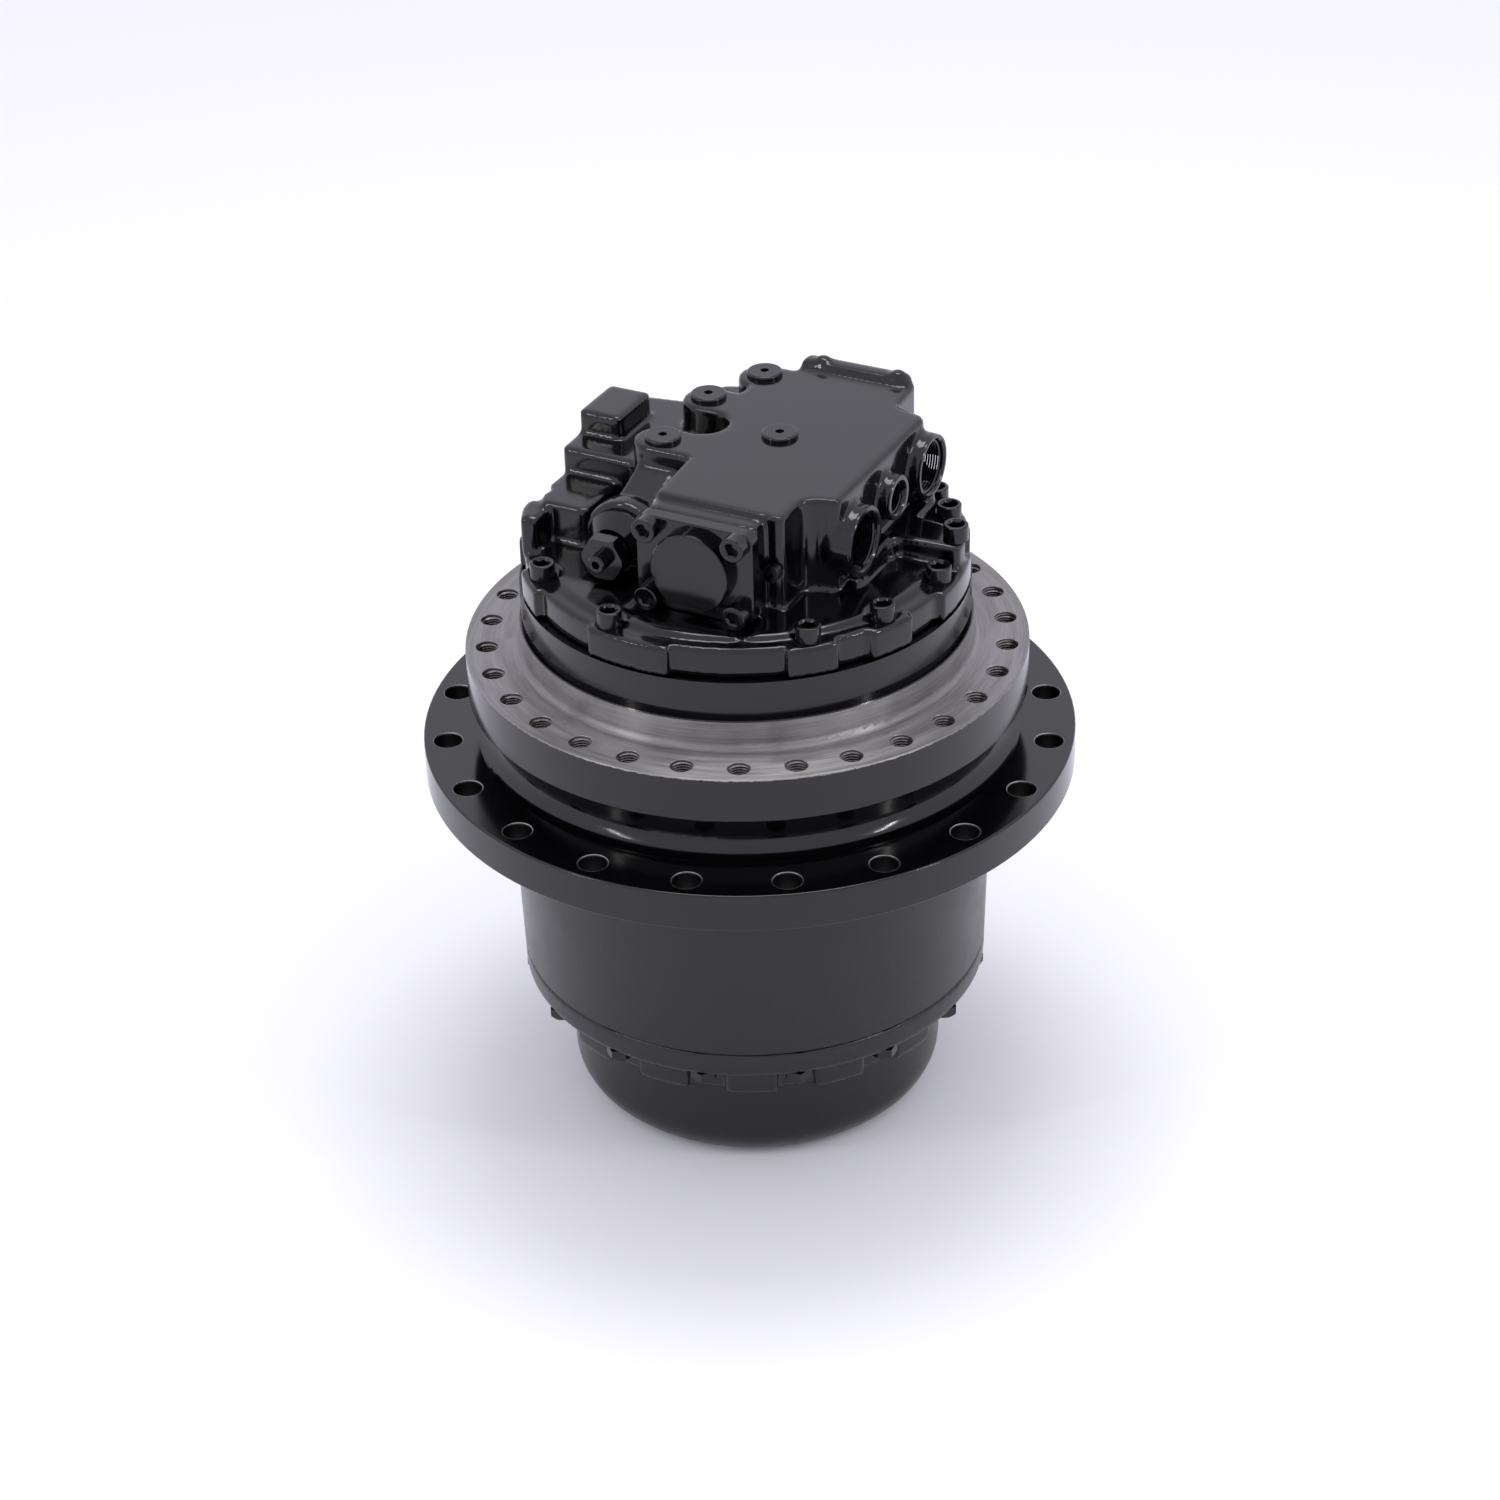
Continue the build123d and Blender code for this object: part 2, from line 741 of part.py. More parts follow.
def head_main_block():
    """The tall rectangular body with its three round plug lobes on the left."""
    outline = [
        (-23, -88),
        (75, -88),
        (75, -50),
        (98.5, -50),
        (98.5, 96),
        (72, 104),
        (69, 146),
        (-20, 148),
        (-27, -32),
    ]
    radii = [3, 4, 15, 6, 7, 8, 8, 6, 0]
    face = make_face(FilletPolyline(*outline, radius=radii, close=True))
    for u, v, radius in ((-60.5, -12, 18), (-58.5, 59, 18), (-38.5, 109.3, 18.3)):
        face += Pos(u, v) * Circle(radius)
        face += Pos(u / 2 - 10, v) * Rectangle(-u - 20, 2 * radius)
    face += Pos(-31.5, 23.5) * Rectangle(23, 37) - Pos(-43, 23.5) * Circle(17.5)
    face += Pos(-30.5, 82) * Rectangle(21, 30)
    body = extrude(face, amount=head_top_z - head_floor_z)
    body = fillet(body.edges().group_by(Axis.Z)[-1], 2)
    return Pos(0, 0, head_floor_z) * body


def head_left_side():
    """The lower deck with its corner boss, and the low cast box with a lug beside it on the rim."""
    deck_outline = [
        (-140, -15),
        (-141, 54),
        (-126, 86),
        (-90, 92),
        (-84, 124),
        (-44, 142),
        (-20, 146),
        (-20, -15),
    ]
    deck = plate(deck_outline, head_floor_z, deck_z, [5, 14, 12, 10, 14, 10, 0, 0])
    deck = fillet(deck.edges().group_by(Axis.Z)[-1], 2)
    boss_outline = [(-139.5, 11), (-105, 11), (-105, 60), (-139.5, 60)]
    corner_boss = plate(boss_outline, deck_z - 8, corner_boss_top_z, [4, 4, 4, 4])
    corner_boss = fillet(corner_boss.edges().group_by(Axis.Z)[-1], 1.5)
    box_outline = [(-130, -63), (-93, -63), (-93, -10), (-138, -10), (-138, -46)]
    low_box = plate(box_outline, head_floor_z, low_box_top_z, [5, 6, 0, 0, 12])
    low_box = fillet(low_box.edges().group_by(Axis.Z)[-1], 2.5)
    lug_outline = [(-136, -84), (-124, -80), (-124, -50), (-146, -50), (-144, -66)]
    lug = plate(lug_outline, head_floor_z, lug_top_z, [4, 4, 0, 0, 6])
    lug = fillet(lug.edges().group_by(Axis.Z)[-1], 3.5)
    return deck + corner_boss + low_box + lug


def head_front():
    """The ledge over the front cover, the wall behind it, and the barrel of the relief valve."""
    wall_outline = [(-22, cover_back_v), (62, cover_back_v), (62, -80), (-22, -80)]
    wall = plate(wall_outline, head_floor_z, ledge_top_z, [3, 3, 0, 0])
    wall = fillet(wall.edges().group_by(Axis.Z)[-1].group_by(Axis.Y)[0], 4)
    foot_outline = [(-30, -120), (66, -120), (72, -88), (-30, -88)]
    foot = plate(foot_outline, head_floor_z, head_flange_top_z + 5, [8, 8, 0, 0])
    foot = fillet(foot.edges().group_by(Axis.Z)[-1].group_by(Axis.Y)[0], 4)
    barrel = forward(relief_u, relief_z, relief_seat_v, -10, relief_barrel_r)
    seat_ring = forward(relief_u, relief_z, relief_seat_v, relief_seat_v + 14, 30)
    seat_ring = fillet(seat_ring.edges().group_by(Axis.Y)[0], 2.5)
    left, right = relief_u - relief_barrel_r, relief_u + relief_barrel_r
    under = block(left, right, relief_seat_v + 3, -10, head_floor_z, relief_z)
    return wall + foot + barrel + seat_ring + under + relief_saddle()


def relief_saddle():
    """The cast slope that runs from the top of the relief valve's barrel back up to the first plug lobe."""
    outline = Polyline((-60, relief_z), (-60, 124), (-28, 136), (-20, 136), (-20, relief_z), close=True)
    return Pos(relief_u - 12, 0, 0) * extrude(Plane.YZ * make_face(outline), amount=32)


def head_right_side():
    """The three port bosses, the sloping web under them and the raised pad for the long bolt."""
    bosses = None
    for v, z, radius in ((port_1_v, port_1_z, 26), (port_2_v, port_2_z, 17), (port_3_v, port_3_z, 24)):
        boss = sideways(v, z, 90, main_port_face_u, radius)
        boss = fillet(boss.edges().group_by(Axis.X)[-1], 1.5)
        bosses = boss if bosses is None else bosses + boss
    skirt = plate([(90, 2), (112, 10), (112, 92), (90, 100)], head_floor_z, 92, [0, 10, 10, 0])
    skirt = fillet(skirt.edges().group_by(Axis.Z)[-1], 4)
    pad_outline = [(100, 18), (158, 21), (157, 36), (140, 52), (100, 56)]
    pad = plate(pad_outline, head_floor_z, raised_bolt_seat_z, [0, 4, 8, 10, 0])
    pad = fillet(pad.edges().group_by(Axis.Z)[-1].group_by(Axis.X)[-1], 2)
    web_outline = Polyline((-46, head_floor_z), (-46, 80), (16, 95), (16, head_floor_z), close=True)
    web = Pos(98, 0, 0) * extrude(Plane.YZ * make_face(web_outline), amount=10)
    web = fillet(web.edges().filter_by(Axis.X, reverse=True).group_by(Axis.X)[-1].group_by(Axis.Z)[-1], 4)
    return bosses + skirt + pad + web


def head_rear_strip():
    """The raised rounded strip along the rear edge, with a small round boss at each end."""
    outline = [(-20, 132), (66, 132), (66, 148), (-20, 148)]
    strip = plate(outline, head_top_z - 12, head_top_z + 6, [4, 6, 6, 6])
    strip = fillet(strip.edges().group_by(Axis.Z)[-1], 4.5)
    for u in (-4, 56):
        boss = Pos(u, 140, 0) * disc(5, head_top_z, head_top_z + 9)
        strip += fillet(boss.edges().group_by(Axis.Z)[-1], 2)
    return strip


def head_flange():
    """The round flange with a boss at each bolt and an inner raised ring with a seat for each bolt head."""
    base = disc(scallop_root_r, case_top_z + 0.1, head_flange_top_z)
    boss_angles = [angle for angle in head_bolt_angles if angle not in (-39, 100, 111)]
    sectors = [(angle - 6.5, angle + 6.5) for angle in boss_angles]
    sectors += [(-43, -20), (69, 81), (93, 117)]
    for start, end in sectors:
        middle = math.radians((start + end) / 2 - 90)
        half = math.radians((end - start) / 2)
        reach = 200.0
        corners = [
            (0, 0),
            (reach * math.cos(middle - half), reach * math.sin(middle - half)),
            (reach * math.cos(middle + half), reach * math.sin(middle + half)),
        ]
        wedge = plate(corners, case_top_z + 0.1, head_flange_top_z)
        base += wedge & disc(case_r, case_top_z + 0.1, head_flange_top_z)
    base = chamfer(base.edges().group_by(Axis.Z)[-1], 1.2)
    ring = disc(146, head_flange_top_z - 1, head_flange_top_z + 4)
    ring = fillet(ring.edges().group_by(Axis.Z)[-1], 2)
    seat = disc(11.5, head_flange_top_z, head_flange_top_z + 20)
    return base + (ring - [around(head_bolt_circle_r, angle - 90) * seat for angle in head_bolt_angles])


def make_valve_head():
    top = head_main_block() + head_left_side() + head_front() + head_right_side() + head_rear_strip()
    head = head_flange() + in_head(top)
    cuts = [disc(24.05, case_top_z - 1, 66)]
    for angle in head_bolt_angles:
        place = around(head_bolt_circle_r, angle - 90)
        cuts.append(place * disc(head_bolt_r + 0.5, case_top_z - 1, head_flange_top_z + 2))
        cuts.append(place * disc(head_bolt_head_r + 1.2, head_flange_top_z, head_flange_top_z + 40))
    long_bolt = around(raised_bolt_circle_r, raised_bolt_angle - 90)
    cuts.append(long_bolt * disc(4.5, case_top_z - 1, raised_bolt_seat_z + 1))
    for v, z, mouth_r, mouth_depth, bore_r, bore_end in (
        (port_1_v, port_1_z, 20.5, 24, 15, 62),
        (port_2_v, port_2_z, 11.5, 20, 7, 66),
        (port_3_v, port_3_z, 19.5, 24, 15, 62),
    ):
        cuts.append(in_head(sideways(v, z, main_port_face_u - mouth_depth, main_port_face_u + 1, mouth_r)))
        cuts.append(in_head(sideways(v, z, bore_end, main_port_face_u, bore_r)))
    cuts.append(in_head(forward(cover_centre_u, cover_centre_z, cover_back_v - 1, 70, spool_r)))
    cuts.append(in_head(forward(relief_u, relief_z, relief_seat_v - 1, -40, 14.05)))
    cuts.append(in_head(forward(relief_u, relief_z, relief_seat_v - 24, relief_seat_v, 26.2)))
    cuts.append(in_head(forward(check_plug_u, check_plug_z, -89, -70, 4)))
    cuts.append(in_head(block(-28, 68, -132, cover_back_v, cover_seat_z, cover_seat_z + 8)))
    for u, v in plug_places:
        cuts.append(in_head(Pos(u, v, 0) * disc(plug_neck_r + 0.05, head_top_z - 18, head_top_z + 1)))
    for z in (cover_centre_z - cover_bolt_z, cover_centre_z + cover_bolt_z):
        for u in (cover_centre_u - cover_bolt_u, cover_centre_u + cover_bolt_u):
            cuts.append(in_head(forward(u, z, cover_back_v - 1, cover_back_v + 20, 5)))
    return head - cuts


def make_front_cover():
    """The plate that closes the spool bore, with round corners about its four bolts."""
    corner = 11.0
    u0, u1 = cover_centre_u - cover_bolt_u, cover_centre_u + cover_bolt_u
    z0, z1 = cover_centre_z - cover_bolt_z, cover_centre_z + cover_bolt_z
    left, right = u0 - corner, u1 + corner
    bottom, top = z0 - corner + 2, z1 + corner - 3
    outline = [(left, bottom), (right, bottom), (right, top), (left, top)]
    face = make_face(FilletPolyline(*outline, radius=[8, 8, 8, 8], close=True))
    body = Plane.XZ * extrude(face, amount=cover_back_v - cover_face_v - 0.05)
    body = Pos(0, cover_back_v - 0.05, 0) * body
    body = chamfer(body.edges().group_by(Axis.Y)[0], 1)
    body -= forward(cover_centre_u, cover_centre_z, cover_face_v - 1, cover_back_v + 1, 27)
    for z in (z0, z1):
        for u in (u0, u1):
            body -= forward(u, z, cover_face_v - 1, cover_back_v + 1, 5.5)
    return in_head(body)


def make_spool_cap():
    """The round cap that stands out of the front cover and closes the spool's end."""
    cap = forward(cover_centre_u, cover_centre_z, cover_face_v - 9, cover_face_v - 0.05, 29.5)
    cap = chamfer(cap.edges().group_by(Axis.Y)[0], 0.8)
    cap += forward(cover_centre_u, cover_centre_z, cover_face_v - 1, cover_back_v - 0.1, 26.9)
    cap -= forward(cover_centre_u, cover_centre_z, cover_face_v + 2, cover_back_v + 1, spool_r + 2)
    return in_head(cap)


def make_front_cover_bolts():
    screw = Rot(90, 0, 0) * socket_screw(9, 10, 4.9, 28, 8.5)
    bolts = []
    for z in (cover_centre_z - cover_bolt_z, cover_centre_z + cover_bolt_z):
        for u in (cover_centre_u - cover_bolt_u, cover_centre_u + cover_bolt_u):
            bolts.append(in_head(Pos(u, cover_face_v, z) * screw))
    return bolts


def make_counterbalance_spool():
    body = forward(cover_centre_u, cover_centre_z, spool_front_v, spool_back_v, spool_r - 0.05)
    for middle in (-60, -30, 0, 30):
        groove = forward(cover_centre_u, cover_centre_z, middle - 7, middle + 7, spool_r + 2)
        body -= groove - forward(cover_centre_u, cover_centre_z, middle - 8, middle + 8, spool_r - 5)
    return in_head(body)


def make_head_bolts():
    screw = socket_screw(head_bolt_head_r, head_bolt_head_height, head_bolt_r - 0.05, 42, 10)
    bolts = [around(head_bolt_circle_r, angle - 90, head_flange_top_z) * screw for angle in head_bolt_angles]
    long_screw = socket_screw(head_bolt_head_r, head_bolt_head_height, raised_bolt_r - 0.1, 50, 10)
    bolts.append(around(raised_bolt_circle_r, raised_bolt_angle - 90, raised_bolt_seat_z) * long_screw)
    return bolts


def make_gallery_plugs():
    """Hexagon-socket plugs that close the drilled oil galleries."""
    head = disc(plug_r, 0, plug_height)
    head = fillet(head.edges().group_by(Axis.Z)[-1], 1.6)
    plug = head + disc(plug_neck_r, -14, 1) - hex_prism(6, 0.8, plug_height + 1)
    return [in_head(Pos(u, v, head_top_z) * plug) for u, v in plug_places]


def make_relief_valve_body():
    """A round body with a conical shoulder, which closes the barrel in the valve head."""
    shoulder = Rot(90, 0, 0) * cone_above(25.5, 17, 12)
    body = Pos(relief_u, relief_seat_v - 4, relief_z) * shoulder
    body += forward(relief_u, relief_z, relief_seat_v - 4, relief_seat_v - 0.05, 25.5)
    body += forward(relief_u, relief_z, relief_seat_v - 19.9, relief_seat_v - 10, 13)
    body += forward(relief_u, relief_z, relief_seat_v - 1, relief_seat_v + 34, 14)
    bore = forward(relief_u, relief_z, relief_seat_v - 30, relief_seat_v + 10, relief_screw_r + 0.05)
    return in_head(body - bore)


def make_relief_valve_locknut():
    nut = hex_prism(30, 0, 10) & cone_above(21, 14.5, 13)
    nut -= disc(relief_screw_r + 0.05, -1, 11)
    return in_head(Pos(relief_u, relief_seat_v - 20, relief_z) * Rot(90, 0, 0) * nut)


def make_relief_valve_screw():
    screw = disc(relief_screw_r, -40, 9)
    screw = chamfer(screw.edges().group_by(Axis.Z)[-1], 1)
    screw -= hex_prism(6, 3, 10)
    return in_head(Pos(relief_u, relief_seat_v - 30, relief_z) * Rot(90, 0, 0) * screw)


def make_check_plug():
    plug = disc(6.4, 0, 7) + disc(3.95, -15, 1) - hex_prism(5, 3, 8)
    return in_head(Pos(check_plug_u, -88.05, check_plug_z) * Rot(90, 0, 0) * plug)


def make_rear_shaft_bush():
    return tube(24, shaft_r, case_top_z + 0.5, 65.5)


def save(name, shape):
    """Write one named sub-part; a list is a group of separate solids."""
    part = Compound(children=[Part() + piece for piece in shape]) if isinstance(shape, list) else shape
    part.label = name
    export_step(part, "parts/" + name + ".step")


upper_inner, upper_outer = bearing_races(upper_bearing_top_z)
lower_inner, lower_outer = bearing_races(lower_bearing_top_z)

save("spindle_housing", make_spindle_housing())
save("hub_housing", make_hub_housing())
save("end_cover", make_end_cover())
save("cover_bolts", make_cover_bolts())
save("cover_plugs", make_cover_plugs())
save("seal_ring_frame_side", seal_ring(1))
save("seal_ring_hub_side", seal_ring(-1))
save("seal_rubber_frame_side", seal_rubber(1))
save("seal_rubber_hub_side", seal_rubber(-1))
save("upper_bearing_inner_race", upper_inner)
save("upper_bearing_outer_race", upper_outer)
save("upper_bearing_balls", bearing_balls(upper_bearing_top_z))
save("upper_bearing_cage", bearing_cage(upper_bearing_top_z))
save("lower_bearing_inner_race", lower_inner)
save("lower_bearing_outer_race", lower_outer)
save("lower_bearing_balls", bearing_balls(lower_bearing_top_z))
save("lower_bearing_cage", bearing_cage(lower_bearing_top_z))
save("bearing_nut", make_bearing_nut())
save("stage_2_carrier", make_stage_2_carrier())
save("stage_2_pins", make_stage_2_pins())
save("stage_2_retainer", make_stage_2_retainer())
save("ring_gear_1", make_ring(1))
save("ring_gear_2", make_ring(2))
for index in range(stage_1_planet_count):
    save("planet_1_" + "abc"[index], make_planet(1, index))
for index in range(stage_2_planet_count):
    save("planet_2_" + "abcd"[index], make_planet(2, index))
save("sun_gear_1", make_sun_gear_1())
save("sun_gear_2", make_sun_gear_2())
save("carrier_1", make_carrier_1())
save("carrier_1_pins", make_carrier_1_pins())
save("input_shaft", make_input_shaft())
save("shaft_bearing_outer_race", make_shaft_bearing_outer())
save("shaft_bearing_inner_race", make_shaft_bearing_inner())
save("rear_shaft_bush", make_rear_shaft_bush())
save("cylinder_block", make_cylinder_block())
save("pistons", make_pistons())
save("piston_shoes", make_piston_shoes())
save("retainer_plate", make_retainer_plate())
save("swash_plate", tube(82, 32, motor_floor_z + 0.1, swash_top_z))
save("valve_plate", make_valve_plate())
save("brake_steel_plates", make_brake_steel_plates())
save("brake_friction_plates", make_brake_friction_plates())
save("brake_piston", make_brake_piston())
save("brake_springs", make_brake_springs())
save("valve_head", make_valve_head())
save("head_bolts", make_head_bolts())
save("front_cover", make_front_cover())
save("spool_cap", make_spool_cap())
save("front_cover_bolts", make_front_cover_bolts())
save("counterbalance_spool", make_counterbalance_spool())
save("gallery_plugs", make_gallery_plugs())
save("relief_valve_body", make_relief_valve_body())
save("relief_valve_locknut", make_relief_valve_locknut())
save("relief_valve_screw", make_relief_valve_screw())
save("check_plug", make_check_plug())
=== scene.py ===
# %% [markdown]
# # An excavator final drive in black paint
# The object is a gearbox that turns a tracked excavator's sprocket. The CAD model already has its castings,
# bolts, gears and bearings at their real size, and this script gives them their surfaces: gloss black paint,
# turned bare steel, threads in the holes, and the soft corners of the cast valve head.
# Everything is in metres. The origin is in the middle of the bright flange face, and +Z points to the valve
# head.

# %% Load the CAD frame
import json
import math

import bmesh
import bpy
import numpy as np
from mathutils import Matrix, Vector


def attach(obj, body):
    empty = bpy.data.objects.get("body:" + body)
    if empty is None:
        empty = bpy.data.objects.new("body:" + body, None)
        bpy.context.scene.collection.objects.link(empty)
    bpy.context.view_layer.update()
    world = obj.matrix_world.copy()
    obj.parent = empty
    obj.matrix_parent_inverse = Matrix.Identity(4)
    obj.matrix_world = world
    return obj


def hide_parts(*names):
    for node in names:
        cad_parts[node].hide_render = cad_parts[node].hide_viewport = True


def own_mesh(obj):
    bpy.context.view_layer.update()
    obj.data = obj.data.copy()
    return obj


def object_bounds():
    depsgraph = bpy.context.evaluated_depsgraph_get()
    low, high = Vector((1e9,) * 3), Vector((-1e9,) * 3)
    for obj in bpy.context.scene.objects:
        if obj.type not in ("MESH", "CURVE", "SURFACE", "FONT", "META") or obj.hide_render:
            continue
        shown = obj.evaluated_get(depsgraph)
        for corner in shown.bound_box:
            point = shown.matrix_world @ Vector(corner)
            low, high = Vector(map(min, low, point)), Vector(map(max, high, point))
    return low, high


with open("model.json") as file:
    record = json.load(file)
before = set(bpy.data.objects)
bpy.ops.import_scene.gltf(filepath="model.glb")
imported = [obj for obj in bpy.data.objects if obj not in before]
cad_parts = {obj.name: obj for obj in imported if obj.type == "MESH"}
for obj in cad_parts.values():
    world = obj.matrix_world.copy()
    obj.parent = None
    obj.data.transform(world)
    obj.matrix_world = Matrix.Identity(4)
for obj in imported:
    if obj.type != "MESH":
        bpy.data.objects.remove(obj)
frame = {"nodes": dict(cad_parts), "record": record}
nodes = frame["nodes"]
cad_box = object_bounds()
print("CAD box in mm:", [[round(v * 1000, 1) for v in corner] for corner in cad_box])

# %% [markdown]
# ## Sizes that several pieces share
# A few sizes of the CAD model come back in the looks: where the bare face lies, where the holes are, and how
# the valve head is turned. They are named once here, in millimetres, and `mm` turns them into metres.

# %% Shared sizes
mm = 0.001

frame_bolt_circle_r = 189.25
frame_bolt_count = 30
frame_bolt_first_angle = -92.5
frame_bolt_r = 8.0
pilot_r = 165.0
pilot_top_z = 22.4
sprocket_bolt_circle_r = 222.2
sprocket_bolt_count = 20
sprocket_bolt_first_angle = -84.0
sprocket_bolt_r = 10.5
sprocket_top_z = -71.5
drum_top_z = -120.0
head_turn = math.radians(-27.7)
port_face = 109.0
ports = {
    "port_1": {"v": -26.7, "z": 111.5, "rim": 25.4, "mouth": 20.5},
    "port_2": {"v": 27.4, "z": 120.0, "rim": 16.4, "mouth": 11.5},
    "port_3": {"v": 85.7, "z": 117.6, "rim": 23.4, "mouth": 19.5},
}
head_across = np.array([math.cos(head_turn), math.sin(head_turn), 0.0])
head_back = np.array([-math.sin(head_turn), math.cos(head_turn), 0.0])
up = np.array([0.0, 0.0, 1.0])


def head_point(u, v, z):
    """A point given along the valve head's own two axes and its height, in the model's frame."""
    return u * head_across + v * head_back + z * up


# %% [markdown]
# ## Surfaces from numpy grids
# Most round machine parts are a profile carried round an axis. A grid of points holds such a surface: one
# direction runs along the profile and the other round the axis. The faces follow the same rule for every
# grid, so one helper makes the mesh, and each piece only works out its points as whole arrays.

# %% Grid helpers
def grid_faces(rows, columns, wrap_rows, wrap_columns):
    """Quads between neighbours of a grid; a wrapped direction joins its last line to its first."""
    row = np.arange(rows if wrap_rows else rows - 1)[:, None]
    column = np.arange(columns if wrap_columns else columns - 1)[None, :]
    below = (row + 1) % rows
    after = (column + 1) % columns
    here, under = row * columns, below * columns
    corners = [here + column, here + after, under + after, under + column]
    shape = (row.shape[0], column.shape[1])
    return np.stack([np.broadcast_to(corner, shape) for corner in corners], -1).reshape(-1, 4)


def add_piece(name, points, faces, body, sharp_degrees=35):
    """A closed mesh at the origin from points in millimetres, facing outwards; it rides on a CAD body."""
    mesh = bpy.data.meshes.new(name)
    mesh.from_pydata((np.asarray(points) * mm).tolist(), [], np.asarray(faces).tolist())
    shell = bmesh.new()
    shell.from_mesh(mesh)
    bmesh.ops.remove_doubles(shell, verts=shell.verts, dist=1e-6)
    bmesh.ops.recalc_face_normals(shell, faces=shell.faces)
    shell.to_mesh(mesh)
    shell.free()
    mesh.shade_smooth()
    mesh.set_sharp_from_angle(angle=math.radians(sharp_degrees))
    piece = bpy.data.objects.new(name, mesh)
    bpy.context.scene.collection.objects.link(piece)
    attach(piece, body)
    return piece


def stack(grids):
    """Points and faces of several (points, faces) grids as one pair."""
    points, faces, start = [], [], 0
    for grid_points, grid_face in grids:
        points.append(grid_points.reshape(-1, 3))
        faces.append(grid_face + start)
        start += len(points[-1])
    return np.concatenate(points), np.concatenate(faces)


def turned_ring(profile, centre, axis, side, segments):
    """A closed profile of (radius, distance along the axis) points carried round the axis.
    The point at angle a is centre + distance * axis + radius * (side * cos a + third * sin a)."""
    profile = np.asarray(profile, float)
    third = np.cross(axis, side)
    angle = np.linspace(0, 2 * np.pi, segments, endpoint=False)
    outward = np.cos(angle)[:, None] * side + np.sin(angle)[:, None] * third
    points = centre + profile[:, 1][:, None, None] * axis + profile[:, 0][:, None, None] * outward[None]
    return points, grid_faces(len(profile), segments, True, True)


def thread_ridge(centre, axis, side, wall_r, crest_r, pitch, turns, per_turn):
    """The ridge of an inside thread: a triangle carried down a helix from the mouth of a hole.
    The axis points out of the hole. The path sinks one pitch each turn and fades out at both ends."""
    third = np.cross(axis, side)
    steps = turns * per_turn + 1
    turn = np.arange(steps) / per_turn
    angle = turn * 2 * np.pi
    outward = np.cos(angle)[:, None] * side + np.sin(angle)[:, None] * third
    fade = np.clip(np.minimum(turn, turn[-1] - turn) * 2, 0, 1)
    base_r = wall_r + 0.15
    radius = np.stack([np.full(steps, base_r), base_r - fade * (base_r - crest_r), np.full(steps, base_r)], 1)
    half = 0.44 * pitch * (0.1 + 0.9 * fade)
    sink = np.stack([-turn * pitch + half, -turn * pitch, -turn * pitch - half], 1)
    points = centre + sink[..., None] * axis + radius[..., None] * outward[:, None, :]
    return points, grid_faces(steps, 3, False, True)


# %% [markdown]
# ## Cast corners
# A sand casting has no sharp corner: each edge is rounded by the mould, and each inside corner has a fillet.
# A Bevel modifier would have to find its way round hundreds of meeting edges, so the casting is made the way
# that a founder would see it, as one skin. A merged copy of the CAD solid is remeshed in small cubes, and a
# few rounds of smoothing then draw every edge in by the same amount.

# %% Cast copy of a CAD solid
def merged_mesh(node, name):
    """A copy of a CAD node's mesh with its doubled points made one, so that the seams are closed."""
    shell = bmesh.new()
    shell.from_mesh(nodes[node].data)
    bmesh.ops.remove_doubles(shell, verts=shell.verts, dist=1e-6)
    mesh = bpy.data.meshes.new(name)
    shell.to_mesh(mesh)
    shell.free()
    return mesh


def cast_copy(node, name, body, voxel_mm, rounds):
    """A rounded copy of a CAD node: merged, remeshed with cubes of one size, and smoothed."""
    mesh = merged_mesh(node, name + "_solid")
    solid = bpy.data.objects.new(name + "_solid", mesh)
    bpy.context.scene.collection.objects.link(solid)
    remesh = solid.modifiers.new("cubes", "REMESH")
    remesh.mode = "VOXEL"
    remesh.voxel_size = voxel_mm * mm
    smooth = solid.modifiers.new("rounding", "SMOOTH")
    smooth.factor = 0.5
    smooth.iterations = rounds
    bpy.context.view_layer.update()
    evaluated = solid.evaluated_get(bpy.context.evaluated_depsgraph_get())
    finished = bpy.data.meshes.new_from_object(evaluated)
    finished.name = name
    finished.shade_smooth()
    bpy.data.objects.remove(solid)
    bpy.data.meshes.remove(mesh)
    piece = bpy.data.objects.new(name, finished)
    bpy.context.scene.collection.objects.link(piece)
    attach(piece, body)
    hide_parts(node)
    print(name, "triangles:", sum(len(p.vertices) - 2 for p in finished.polygons))
    return piece


# %% [markdown]
# ## Node helpers
# Materials below are node trees. Writing them by hand takes many lines, so short helpers add a node, a sum or
# a noise, and give back the socket that the next node needs.

# %% Node helpers
def add_node(tree, kind, **settings):
    """A node of one kind, with its settings."""
    node = tree.nodes.new(kind)
    for key, value in settings.items():
        setattr(node, key, value)
    return node


def feed(tree, socket, value):
    """Puts a number, a colour or another socket into a node's socket."""
    if isinstance(value, bpy.types.NodeSocket):
        tree.links.new(value, socket)
    else:
        socket.default_value = value


def calc(tree, operation, first, second=0.0, clamp=False):
    """A Math node's result."""
    node = add_node(tree, "ShaderNodeMath", operation=operation, use_clamp=clamp)
    feed(tree, node.inputs[0], first)
    feed(tree, node.inputs[1], second)
    return node.outputs[0]


def object_place(tree):
    """The point in the object's own space, its x, y and z, and its distance from the Z axis, in metres."""
    place = add_node(tree, "ShaderNodeTexCoord").outputs["Object"]
    split = add_node(tree, "ShaderNodeSeparateXYZ")
    tree.links.new(place, split.inputs[0])
    x, y, z = split.outputs
    squares = calc(tree, "ADD", calc(tree, "MULTIPLY", x, x), calc(tree, "MULTIPLY", y, y))
    return place, x, y, z, calc(tree, "SQRT", squares)


